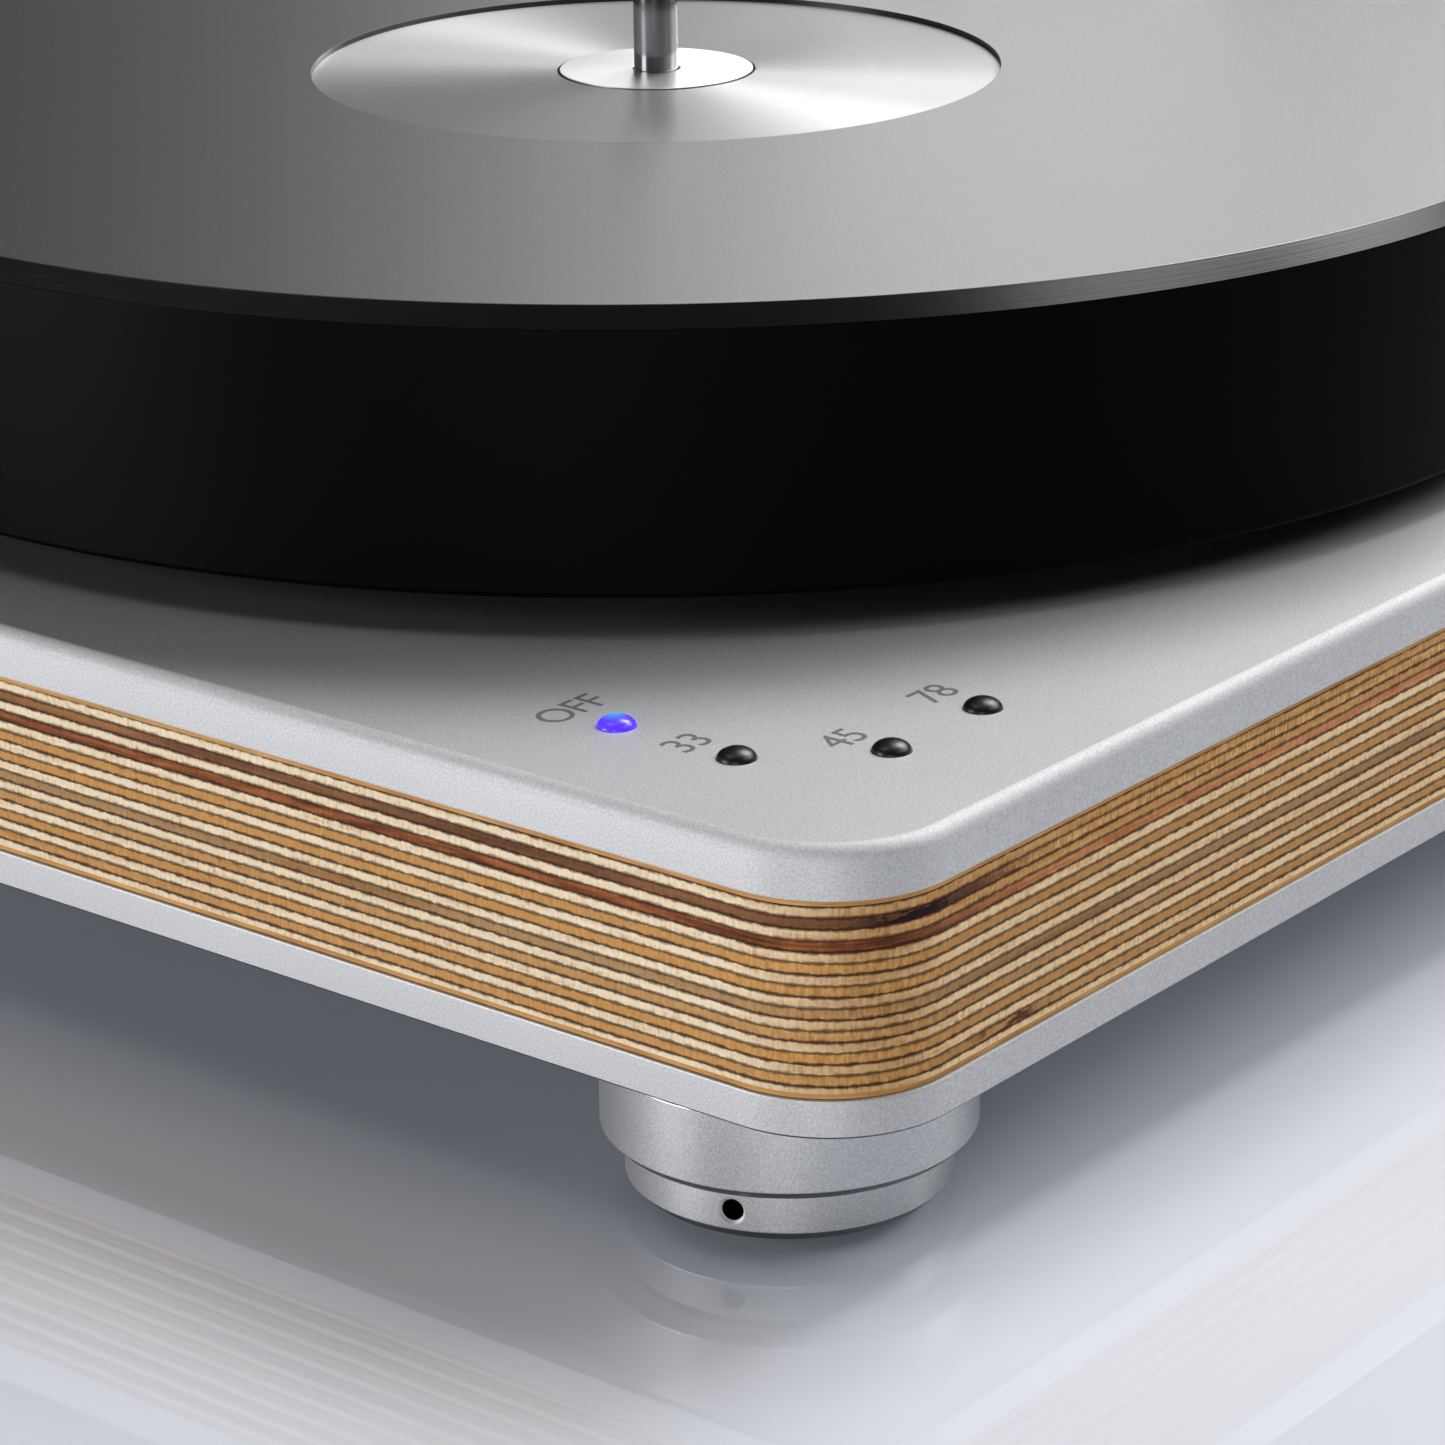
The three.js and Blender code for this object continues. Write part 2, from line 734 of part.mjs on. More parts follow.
function makeSubPlatter() {
  const shoulder = subPlatterTop - subPlatterThickness / 2 + seatGap;
  const profile = [
    [spindleShaftRadius + fitGap, subPlatterBossBottom],
    [subPlatterBossRadius, subPlatterBossBottom],
    [subPlatterBossRadius, subPlatterBottom],
    [subPlatterRadius, subPlatterBottom],
    [subPlatterRadius, subPlatterTop],
    [spindleBoreRadius, subPlatterTop],
    [spindleBoreRadius, shoulder],
    [spindleShaftRadius + fitGap, shoulder],
    [spindleShaftRadius + fitGap, subPlatterBossBottom],
  ];
  return turned(profile, fineSteps / 2);
}

const rotor = groupAt(
  platterX,
  platterY,
  0,
  piece("platter", makePlatter(), blackAcetal()),
  piece(
    "hub_disc",
    turned(ringProfile(spindleBoreRadius, hubDiscRadius, hubDiscBottom, hubDiscTop), mediumSteps),
    polishedSteel(),
  ),
  piece("spindle", makeSpindle(), polishedSteel()),
  piece("sub_platter", makeSubPlatter(), satinAluminium()),
);

// Motor under the top plate, its pulley inside the platter rim, and the belt
function makeMotorCan() {
  const bore = motorShaftRadius + fitGap;
  const profile = [
    [0, motorCanBottom],
    [motorCanRadius, motorCanBottom],
    [motorCanRadius, motorCanTop],
    [bore, motorCanTop],
    [bore, motorCanTop - motorShaftDepth - fitGap],
    [0, motorCanTop - motorShaftDepth - fitGap],
  ];
  return turned(profile, mediumSteps);
}

function makePulley() {
  const bore = motorShaftRadius + fitGap;
  const lip = pulleyOuterRadius;
  const profile = [
    [bore, pulleyBottom],
    [lip, pulleyBottom],
    [lip, pulleyBottom + pulleyFlangeThickness],
    [pulleyRadius, pulleyBottom + pulleyFlangeThickness],
    [pulleyRadius, pulleyTop - pulleyFlangeThickness],
    [lip, pulleyTop - pulleyFlangeThickness],
    [lip, pulleyTop],
    [bore, pulleyTop],
    [bore, pulleyBottom],
  ];
  return turned(profile, mediumSteps);
}

// One loop of belt round a large and a small circle, offset from both
function beltOutline(offset, path) {
  const wrap = Math.acos((subPlatterRadius - pulleyRadius) / pulleyCentreDistance);
  path.absarc(0, 0, subPlatterRadius + offset, motorAngle + wrap, motorAngle - wrap + 2 * Math.PI);
  path.absarc(
    motorX - platterX,
    motorY - platterY,
    pulleyRadius + offset,
    motorAngle - wrap,
    motorAngle + wrap,
  );
  path.closePath();
  return path;
}

function makeBelt() {
  const shape = beltOutline(fitGap + beltThickness, new THREE.Shape());
  shape.holes.push(beltOutline(fitGap, new THREE.Path()));
  return slab(shape, beltMiddle - beltHeight / 2, beltMiddle + beltHeight / 2, mediumSteps);
}

const drive = groupAt(
  motorX,
  motorY,
  0,
  piece("motor_can", makeMotorCan(), darkSteel()),
  piece(
    "motor_isolator",
    turned(
      ringProfile(motorShaftHoleRadius, motorPocketRadius - fitGap, motorIsolatorBottom, motorIsolatorTop),
      mediumSteps,
    ),
    rubber(),
  ),
  piece(
    "motor_shaft",
    rodAlongZ(motorShaftRadius, motorCanTop - motorShaftDepth, pulleyTop, smallSteps),
    polishedSteel(),
  ),
  piece("motor_pulley", makePulley(), bronze()),
);
const beltGroup = groupAt(platterX, platterY, 0, piece("drive_belt", makeBelt(), rubber()));

// Four dome buttons over a board with a switch under each
function makeButton() {
  const domeBase = chassisTop;
  const dome = [];
  const steps = cornerSteps / 2;
  for (let i = 1; i < steps; i += 1) {
    const angle = (i / steps) * (Math.PI / 2);
    dome.push([buttonRadius * Math.cos(angle), domeBase + buttonDomeHeight * Math.sin(angle)]);
  }
  const profile = [
    [0, buttonStemBottom],
    [buttonStemRadius, buttonStemBottom],
    [buttonStemRadius, buttonFlangeBottom],
    [buttonFlangeRadius, buttonFlangeBottom],
    [buttonFlangeRadius, buttonFlangeTop],
    [buttonRadius, buttonFlangeTop],
    [buttonRadius, domeBase],
    ...dome,
    [0, domeBase + buttonDomeHeight],
  ];
  return turned(profile, smallSteps);
}

function makeBoard() {
  const board = block(
    [boardPocketLow[0] + boardWallGap, boardPocketLow[1] + boardWallGap, boardBottom],
    [boardPocketHigh[0] - boardWallGap, boardPocketHigh[1] - boardWallGap, boardTop],
  );
  const half = switchSize / 2;
  const sunk = boardTop - boardThickness / 2;
  const bodies = Object.values(buttonPlaces).map(([x, y]) =>
    solid(block([x - half, y - half, sunk], [x + half, y + half, switchTop])),
  );
  const wells = Object.values(buttonPlaces).map(([x, y]) =>
    solid(moved(rodAlongZ(buttonStemRadius + fitGap, boardTop, switchTop + cutOverrun, tinySteps), x, y)),
  );
  return cut(join([solid(board), ...bodies]), wells);
}

const controls = groupAt(0, 0, 0, piece("control_board", makeBoard(), boardGreen()));
for (const [name, [x, y]] of Object.entries(buttonPlaces)) {
  const look = name === "button_off" ? litBlue() : blackPlastic();
  controls.add(groupAt(x, y, 0, piece(name, makeButton(), look)));
}

// Rear connections, each pair of faces set back in its pocket
const outputLeft = -phonoSocketSpacing;
const outputGround = phonoSocketSpacing;

function makeOutputPanel() {
  const half = [rearPocketWidth / 2 - fitGap, rearPocketHeight / 2 - fitGap];
  const plate = block([-half[0], panelBackY, -half[1]], [half[0], panelFrontY, half[1]]);
  const through = (radius, x) =>
    solid(moved(rodAlongY(radius, panelBackY - cutOverrun, panelFrontY + cutOverrun, smallSteps), x, 0));
  return cut(solid(plate), [
    through(groundPostRadius + fitGap, outputLeft),
    through(groundPostRadius + fitGap, 0),
    through(groundPostRadius + fitGap, outputGround),
  ]);
}

// A stub through the panel carries each socket
function makePhonoSocket() {
  const front = panelFrontY + seatGap;
  const stub = rodAlongY(groundPostRadius, panelBackY, front + seatGap, smallSteps);
  const shell = rodAlongY(phonoSocketRadius, front, front + phonoSocketReach, smallSteps);
  const pinHole = rodAlongY(
    phonoPinHoleRadius,
    front + phonoSocketReach - phonoPinHoleDepth,
    front + phonoSocketReach + cutOverrun,
    tinySteps,
  );
  return cut(join([solid(stub), solid(shell)]), [solid(pinHole)]);
}

function makeGroundTerminal() {
  const front = panelFrontY + seatGap;
  return join([
    solid(rodAlongY(groundPostRadius, panelBackY, front + groundPostReach, smallSteps)),
    solid(rodAlongY(groundKnobRadius, front, front + groundKnobHeight, smallSteps)),
  ]);
}

function makeInlet() {
  const half = [inletWidth / 2, inletHeight / 2];
  const start = panelBackY - seatGap + fitGap;
  const end = start + inletTail + inletReach;
  const body = block([-half[0], start, -half[1]], [half[0], end, half[1]]);
  const bore = rodAlongY(inletBoreRadius, end - inletBoreDepth, end + cutOverrun, smallSteps);
  const pin = rodAlongY(inletPinRadius, end - inletBoreDepth - cutOverrun, end - fitGap, tinySteps);
  return cut(solid(body), [solid(bore)]).add(solid(pin));
}

const output = groupAt(
  rearPocketX,
  0,
  rearLevel,
  piece("output_panel", makeOutputPanel(), blackPlastic()),
  groupAt(outputLeft, 0, 0, piece("phono_socket_left", makePhonoSocket(), bronze())),
  piece("phono_socket_right", makePhonoSocket(), bronze()),
  groupAt(outputGround, 0, 0, piece("ground_terminal", makeGroundTerminal(), bronze())),
);
const supply = groupAt(-rearPocketX, 0, rearLevel, piece("supply_inlet", makeInlet(), blackPlastic()));

// Three levelling feet: body on the chassis, turning ring with tommy holes, still pad
function makeFootBody() {
  const bore = footStudRadius + fitGap;
  const boreTop = footStudTop + footStudEndRoom;
  const profile = [
    [bore, footCollarBottom],
    [footCollarRadius, footCollarBottom],
    [footCollarRadius, footBodyBottom],
    [footBodyRadius - footBodyChamfer, footBodyBottom],
    [footBodyRadius, footBodyBottom + footBodyChamfer],
    [footBodyRadius, footBodyTop],
    [0, footBodyTop],
    [0, boreTop],
    [bore, boreTop],
    [bore, footCollarBottom],
  ];
  return turned(profile, mediumSteps);
}

function makeFootRing() {
  const bore = footPadPinRadius + fitGap;
  const boreTop = ringBottom + footPadPinHeight + fitGap;
  const profile = [
    [bore, ringBottom],
    [footRingRadius - footRingChamfer, ringBottom],
    [footRingRadius, ringBottom + footRingChamfer],
    [footRingRadius, ringTop - footEdgeChamfer],
    [footRingRadius - footEdgeChamfer, ringTop],
    [footStudRadius, ringTop],
    [footStudRadius, footStudTop],
    [0, footStudTop],
    [0, boreTop],
    [bore, boreTop],
    [bore, ringBottom],
  ];
  const level = ringTop - tommyHoleDrop;
  const rimDepth = tommyHoleRimRadius - tommyHoleRadius;
  const tools = [];
  for (let i = 0; i < tommyHoleCount; i += 1) {
    const angle = tommyHoleAngle + (i * 2 * Math.PI) / tommyHoleCount;
    const bottom = footRingRadius - tommyHoleDepth;
    const drill = rodAlongX(tommyHoleRadius, bottom, footRingRadius + cutOverrun, tinySteps);
    const mouth = tommyHoleRimRadius + rimDepth;
    const sink = new THREE.CylinderGeometry(mouth, tommyHoleRadius, 2 * rimDepth, tinySteps);
    sink.rotateZ(-Math.PI / 2).translate(footRingRadius, 0, 0);
    tools.push(...[drill, sink].map((tool) => solid(moved(tool.rotateZ(angle), 0, 0, level))));
  }
  return cut(solid(turned(profile, mediumSteps)), tools);
}

function makeFootPad() {
  const profile = [
    [0, 0],
    [footPadRadius, 0],
    [footPadRadius, footPadThickness],
    [footPadPinRadius, footPadThickness],
    [footPadPinRadius, ringBottom + footPadPinHeight],
    [0, ringBottom + footPadPinHeight],
  ];
  return turned(profile, mediumSteps);
}

const footPlaces = {
  front_left: [cornerX + footInsetX, cornerY + footInsetY],
  front_right: [-cornerX - footInsetX, cornerY + footInsetY],
  rear: [0, -cornerY - footInsetY],
};
const feet = new THREE.Group();
for (const [place, [x, y]] of Object.entries(footPlaces)) {
  feet.add(
    groupAt(
      x,
      y,
      0,
      piece("foot_body_" + place, makeFootBody(), blastedAluminium()),
      piece("foot_ring_" + place, makeFootRing(), blastedAluminium()),
      piece("foot_pad_" + place, makeFootPad(), rubber()),
    ),
  );
}

// Tonearm base, height pillar and deck, about the arm's vertical axis
const armBaseBottom = chassisTop + seatGap;
const armBaseTop = armBaseBottom + armBaseSleeveHeight;
const deckBottom = armBaseTop + seatGap;
const deckTop = deckBottom + deckThickness;
const yokeBottom = armAxisLevel - yokeBelowAxis - yokeBaseThickness;
const pillarTop = yokeBottom - seatGap;
const armClampLevel = armBaseBottom + armClampScrewHeight;
const liftPostX = -liftRadius * Math.sin(liftPostAngle);
const liftPostY = -liftRadius * Math.cos(liftPostAngle);

function makeArmBase() {
  const bore = armPillarRadius + fitGap;
  const flangeTop = armBaseBottom + armBaseFlangeHeight;
  const profile = [
    [bore, armBaseBottom],
    [armBaseFlangeRadius, armBaseBottom],
    [armBaseFlangeRadius, flangeTop],
    [armBaseSleeveRadius, flangeTop],
    [armBaseSleeveRadius, armBaseTop],
    [bore, armBaseTop],
    [bore, armBaseBottom],
  ];
  const hole = rodAlongX(armClampScrewRadius + fitGap, 0, armBaseSleeveRadius + cutOverrun, smallSteps);
  return cut(solid(turned(profile, mediumSteps)), [solid(moved(hole, 0, 0, armClampLevel))]);
}

function makeClampScrew() {
  const start = armPillarRadius + fitGap;
  const end = armBaseSleeveRadius + armClampScrewHead;
  return moved(rodAlongX(armClampScrewRadius, start, end, tinySteps), 0, 0, armClampLevel);
}

function makePillar() {
  const profile = [
    [armPillarWireBore, pillarBottom],
    [armPillarRadius, pillarBottom],
    [armPillarRadius, pillarTop],
    [armSpigotRadius, pillarTop],
    [armSpigotRadius, pillarTop + armSpigotHeight],
    [armPillarWireBore, pillarTop + armSpigotHeight],
    [armPillarWireBore, pillarBottom],
  ];
  return turned(profile, mediumSteps);
}

const leverLevel = deckTop + leverAxisHeight;
const leverLugX = leverOffset - leverRodRadius - fitGap - leverLugThickness;

function makeDeck() {
  const arm = (x, y, radius) => solid(slab(capsule([0, 0], [x, y], radius), deckBottom, deckTop));
  const hub = solid(rodAlongZ(deckHubRadius, deckBottom, deckTop, mediumSteps));
  const through = (radius, x, y, steps) =>
    solid(moved(rodAlongZ(radius, deckBottom - cutOverrun, deckTop + cutOverrun, steps), x, y));
  const lugHalf = leverLugWidth / 2;
  const lug = block(
    [leverLugX, liftPostY - lugHalf, deckBottom],
    [leverLugX + leverLugThickness, liftPostY + lugHalf, leverLevel + leverLugRise],
  );
  const lugRoot = block(
    [0, liftPostY - lugHalf, deckBottom],
    [leverLugX + leverLugThickness, liftPostY + lugHalf, deckTop],
  );
  const shaftHole = rodAlongX(leverShaftRadius + fitGap, 0, leverOffset, smallSteps);
  return cut(
    join([
      hub,
      arm(0, -restDistance, deckArmHalfWidth),
      arm(liftPostX, liftPostY, liftHousingRadius + seatGap),
      arm(dialOffset, 0, dialLobeRadius),
      solid(lug),
      solid(lugRoot),
    ]),
    [
      through(armPillarRadius + fitGap, 0, 0, mediumSteps),
      through(dialStemRadius + fitGap, dialOffset, 0, smallSteps),
      solid(moved(shaftHole, 0, liftPostY, leverLevel)),
    ],
  );
}

// Cue lift: housing on the deck, post with a curved bar, and the lever beside it
const tubeUnderside = armAxisLevel - armTubeRadius;
const liftBarTop = tubeUnderside - fitGap;
const liftBarBottom = liftBarTop - liftBarThickness;
const liftHousingBottom = deckTop + seatGap;
const liftHousingTop = liftHousingBottom + liftHousingHeight;
const liftPostBottom = liftHousingTop - liftPostGrip - liftStroke;

function makeLiftHousing() {
  const bore = liftPostRadius + fitGap;
  const boreBottom = liftPostBottom - fitGap;
  const profile = [
    [0, liftHousingBottom],
    [liftHousingRadius, liftHousingBottom],
    [liftHousingRadius, liftHousingTop],
    [bore, liftHousingTop],
    [bore, boreBottom],
    [0, boreBottom],
  ];
  const shaftHole = rodAlongX(
    leverShaftRadius + fitGap,
    liftHousingRadius - leverShaftBite,
    liftHousingRadius + cutOverrun,
    tinySteps,
  );
  return cut(solid(turned(profile, smallSteps)), [solid(moved(shaftHole, 0, 0, leverLevel))]);
}

function makeLiftBar() {
  const half = liftBarWidth / 2;
  const from = -Math.PI / 2 - liftFirstAngle;
  const to = -Math.PI / 2 - liftLastAngle;
  const shape = new THREE.Shape();
  shape.absarc(0, 0, liftRadius + half, from, to, true);
  shape.absarc(0, 0, liftRadius - half, to, from, false);
  const bar = slab(shape, liftBarBottom, liftBarTop);
  const post = rodAlongZ(liftPostRadius, liftPostBottom, liftBarBottom + liftBarThickness / 2, smallSteps);
  return join([solid(bar), solid(moved(post, liftPostX, liftPostY))]);
}

function makeLever() {
  const shaftEnd = liftPostX + liftHousingRadius - leverShaftBite + fitGap;
  const knobStart = leverLength - leverKnobLength;
  return join([
    solid(rodAlongX(leverShaftRadius, shaftEnd, leverOffset, smallSteps)),
    solid(moved(rodAlongY(leverRodRadius, 0, -leverLength + seatGap, smallSteps), leverOffset, 0)),
    solid(moved(rodAlongY(leverKnobRadius, -knobStart, -leverLength, smallSteps), leverOffset, 0)),
  ]);
}

// Arm rest, open towards the platter, with a latch that swings over the tube
const restFloorTop = tubeUnderside - fitGap;
const restWallX = armTubeRadius + fitGap;
const restWallOuter = restWallX + restWallThickness;
const restWallTop = armAxisLevel + restWallRise;
const latchX = restWallX + restWallThickness / 2;
const latchLevel = restWallTop + restEarHeight / 2;

function makeArmRest() {
  const half = restLength / 2;
  const post = rodAlongZ(restPostRadius, deckTop + seatGap, restFloorTop - seatGap, smallSteps);
  const floorLow = [-restWallX - restLipWidth, -half, restFloorTop - restFloorThickness];
  const cradle = block(floorLow, [restWallOuter, half, restFloorTop]);
  const earTop = restWallTop + restEarHeight;
  const wall = block([restWallX, -half, restFloorTop - seatGap], [restWallOuter, half, earTop]);
  const slotHalf = half - restEarThickness;
  const slotLow = [restWallX - cutOverrun, -slotHalf, restWallTop];
  const slot = block(slotLow, [restWallOuter + cutOverrun, slotHalf, earTop + cutOverrun]);
  const pinHole = rodAlongY(latchPinRadius + fitGap, -restLength, restLength, tinySteps);
  return cut(join([solid(post), solid(cradle), solid(wall)]), [
    solid(slot),
    solid(moved(pinHole, latchX, 0, latchLevel)),
  ]);
}

// The latch is drawn open, lying outwards from its pin
function makeLatch() {
  const half = restLength / 2 - restEarThickness - fitGap;
  const bar = block([0, -half, -latchThickness / 2], [latchLength, half, latchThickness / 2]);
  const hookLow = [latchLength - latchHookThickness, -half, 0];
  const hook = block(hookLow, [latchLength, half, latchThickness / 2 + latchHookLength]);
  const pin = rodAlongY(latchPinRadius, -restLength / 2, restLength / 2, tinySteps);
  const knuckle = rodAlongY(latchThickness / 2, -half, half, tinySteps);
  return join([solid(bar), solid(hook), solid(pin), solid(knuckle)]);
}

function makeDial() {
  const tools = [];
  for (let i = 0; i < dialGripCount; i += 1) {
    const angle = (i * 2 * Math.PI) / dialGripCount;
    const grip = rodAlongZ(2 * dialGripDepth, deckTop, deckTop + dialHeight + cutOverrun, tinySteps);
    grip.translate(dialRadius + dialGripDepth, 0, 0).rotateZ(angle);
    tools.push(solid(grip));
  }
  const bottom = deckTop + seatGap;
  const profile = [
    [0, bottom - dialStemLength],
    [dialStemRadius, bottom - dialStemLength],
    [dialStemRadius, bottom],
    [dialRadius, bottom],
    [dialRadius, bottom + dialHeight],
    [0, bottom + dialHeight],
  ];
  return cut(solid(turned(profile, mediumSteps)), tools);
}

// Yoke on the pillar, with a pin each side into the arm block
function makeYoke() {
  const top = yokeBottom + yokeBaseThickness;
  const base = turned(ringProfile(armSpigotRadius + fitGap, yokeRadius, yokeBottom, top), mediumSteps);
  const cheeks = [-1, 1].map((side) => {
    const outer = side * yokeRadius;
    const inner = side * (yokeRadius - yokeCheekThickness);
    const half = yokeCheekWidth / 2;
    const low = [Math.min(inner, outer), -half, yokeBottom + seatGap];
    return solid(block(low, [Math.max(inner, outer), half, armAxisLevel + yokeCheekRise]));
  });
  const reach = yokeRadius + cutOverrun;
  const axle = rodAlongX(pivotPinRadius + fitGap, -reach, reach, smallSteps);
  return cut(join([solid(base), ...cheeks]), [solid(moved(axle, 0, 0, armAxisLevel))]);
}

function makePivotPin(side) {
  const tip = side * (armBlockWidth / 2 - pivotPinBite);
  const head = side * (yokeRadius + pivotPinHead);
  return moved(rodAlongX(pivotPinRadius, tip, head, smallSteps), 0, 0, armAxisLevel);
}

const armFixed = groupAt(
  armX,
  armY,
  0,
  piece("arm_base", makeArmBase(), satinAluminium()),
  piece("arm_clamp_screw", makeClampScrew(), darkSteel()),
  piece("arm_pillar", makePillar(), polishedSteel()),
  piece("arm_deck", makeDeck(), satinAluminium()),
  groupAt(liftPostX, liftPostY, 0, piece("lift_housing", makeLiftHousing(), satinAluminium())),
  piece("lift_bar", makeLiftBar(), darkSteel()),
  groupAt(0, liftPostY, leverLevel, piece("cue_lever", makeLever(), darkSteel())),
  groupAt(0, -restDistance, 0, piece("arm_rest", makeArmRest(), blackPlastic())),
  groupAt(latchX, -restDistance, latchLevel, piece("arm_latch", makeLatch(), blackPlastic())),
  groupAt(dialOffset, 0, 0, piece("anti_skate_dial", makeDial(), satinAluminium())),
  piece("arm_yoke", makeYoke(), satinAluminium()),
  piece("pivot_pin_left", makePivotPin(-1), darkSteel()),
  piece("pivot_pin_right", makePivotPin(1), darkSteel()),
);

// The tilting arm, about its own axis, pointing to the front
const headOffset = headReach * Math.sin(headAngle);
const neckDistance = Math.sqrt(armEffectiveLength ** 2 - headOffset ** 2) - headReach * Math.cos(headAngle);
const tubeEnd =
  headBack / Math.cos(headAngle) + armTubeRadius * Math.tan(headAngle) + fitGap - neckDistance;
const shaftStart = seatGap + armTubeBite / 2;

function makeArmBlock() {
  const half = [armBlockWidth / 2, armBlockLength / 2, armBlockHeight / 2];
  const body = block(half.map((value) => -value), half);
  const bite = pivotPinBite + fitGap;
  const sockets = [-1, 1].map((side) => {
    const inner = side * (half[0] - bite);
    const outer = side * (half[0] + cutOverrun);
    return solid(rodAlongX(pivotPinRadius + fitGap, inner, outer, smallSteps));
  });
  return cut(solid(body), [
    solid(rodAlongY(armTubeRadius + fitGap, -half[1] - cutOverrun, -half[1] + armTubeBite, smallSteps)),
    solid(rodAlongY(weightShaftRadius + fitGap, shaftStart - fitGap, half[1] + cutOverrun, smallSteps)),
    ...sockets,
  ]);
}

function makeTube() {
  const start = -armBlockLength / 2 + armTubeBite - fitGap;
  const tube = rodAlongY(armTubeRadius, tubeEnd, start, smallSteps);
  const bore = rodAlongY(armTubeRadius - armTubeWall, tubeEnd - cutOverrun, start + cutOverrun, smallSteps);
  return cut(solid(tube), [solid(bore)]);
}

function makeWeight() {
  const chamfer = weightEdgeChamfer;
  const bore = weightShaftRadius + fitGap;
  const profile = [
    [bore, 0],
    [weightRadius - chamfer, 0],
    [weightRadius, chamfer],
    [weightRadius, weightLength - chamfer],
    [weightRadius - chamfer, weightLength],
    [bore, weightLength],
    [bore, 0],
  ];
  return turned(profile, mediumSteps).rotateX(-Math.PI / 2);
}

// Head pieces stand in a frame turned by the head angle at the end of the tube
function makeHeadshell() {
  const shape = roundedRectangle(headWidth, headReach + headFront + headBack, headCornerRadius);
  const middle = (headBack - headReach - headFront) / 2;
  const half = headThickness / 2;
  const plate = moved(slab(shape, -half, half), 0, middle);
  const slots = [-1, 1].map((side) => {
    const x = (side * headSlotSpacing) / 2;
    const y = middle - headSlotLength / 2;
    const slot = capsule([x, y], [x, y + headSlotLength], headSlotWidth / 2);
    return solid(slab(slot, -half - cutOverrun, half + cutOverrun));
  });
  const neckRadius = armTubeRadius - armTubeWall - fitGap;
  const neck = rodAlongY(neckRadius, 0, neckDistance + tubeEnd + headNeckLength, smallSteps);
  neck.rotateZ(headAngle);
  return cut(solid(plate), slots).add(solid(neck));
}

const cartridgeTop = -headThickness / 2 - seatGap;
const cartridgeBottom = cartridgeTop - cartridgeHeight;
const cartridgeFront = -headReach - cartridgeNose;

function makeCartridge() {
  const side = [
    [cartridgeFront, cartridgeTop],
    [cartridgeFront + cartridgeLength, cartridgeTop],
    [cartridgeFront + cartridgeLength, cartridgeBottom],
    [cartridgeFront + cartridgeNoseRise, cartridgeBottom],
    [cartridgeFront, cartridgeBottom + cartridgeNoseRise],
  ];
  return acrossX(side, cartridgeWidth);
}

function makeStylus() {
  const top = cartridgeBottom - seatGap;
  const tip = -armAxisAboveRecord;
  const back = -headReach + stylusHolderLength;
  const holder = block(
    [-stylusHolderWidth / 2, -headReach + 2 * cantileverWidth, top - stylusHolderHeight],
    [stylusHolderWidth / 2, back, top],
  );
  const cantilever = acrossX(
    [
      [-headReach + 3 * cantileverWidth, top],
      [-headReach - cantileverWidth / 2, tip + cantileverWidth],
      [-headReach, tip],
      [-headReach + cantileverWidth, tip + cantileverWidth],
      [-headReach + 4 * cantileverWidth, top - stylusHolderHeight / 2],
    ],
    cantileverWidth,
  );
  return join([solid(holder), solid(cantilever)]);
}

function makeFingerLift() {
  const edge = headWidth / 2 + fingerLiftRadius + fitGap;
  const points = [
    new THREE.Vector3(edge, -headReach + headBack, 0),
    new THREE.Vector3(edge + fingerLiftReach / 3, -headReach, 0),
    new THREE.Vector3(edge + (2 * fingerLiftReach) / 3, -headReach - headBack, -fingerLiftDrop / 2),
    new THREE.Vector3(edge + fingerLiftReach, -headReach - headBack, -fingerLiftDrop),
  ];
  const section = new THREE.Shape().absarc(0, 0, fingerLiftRadius, 0, 2 * Math.PI);
  const geometry = new THREE.ExtrudeGeometry(section, {
    steps: tinySteps,
    curveSegments: tinySteps / 2,
    extrudePath: new THREE.CatmullRomCurve3(points),
  });
  return solid(geometry);
}

const head = groupAt(
  0,
  -neckDistance,
  0,
  piece("headshell", makeHeadshell(), satinAluminium()),
  piece("cartridge", makeCartridge(), blackPlastic()),
  piece("stylus", makeStylus(), bronze()),
  piece("finger_lift", makeFingerLift(), satinAluminium()),
);
head.rotation.z = -headAngle;

const armMoving = groupAt(
  armX,
  armY,
  armAxisLevel,
  piece("arm_block", makeArmBlock(), satinAluminium()),
  piece("arm_tube", makeTube(), satinAluminium()),
  piece(
    "weight_shaft",
    rodAlongY(weightShaftRadius, shaftStart, weightShaftLength, smallSteps),
    darkSteel(),
  ),
  groupAt(0, weightStart, 0, piece("counterweight", makeWeight(), darkSteel())),
  head,
);

const turntable = new THREE.Group();
turntable.add(chassis, bearing, rotor, drive, beltGroup, controls);
turntable.add(output, supply, feet, armFixed, armMoving);

export default turntable;
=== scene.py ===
"""A belt driven turntable with a layered birch core, dressed for rendering.

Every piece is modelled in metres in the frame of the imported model, rides on one of its
bodies and stands for one or more of its nodes. The finishes are procedural.
"""

import json
import math
from functools import partial

import bmesh
import bpy
from bpy.props import FloatProperty, FloatVectorProperty, IntProperty, PointerProperty
from mathutils import Matrix, Vector


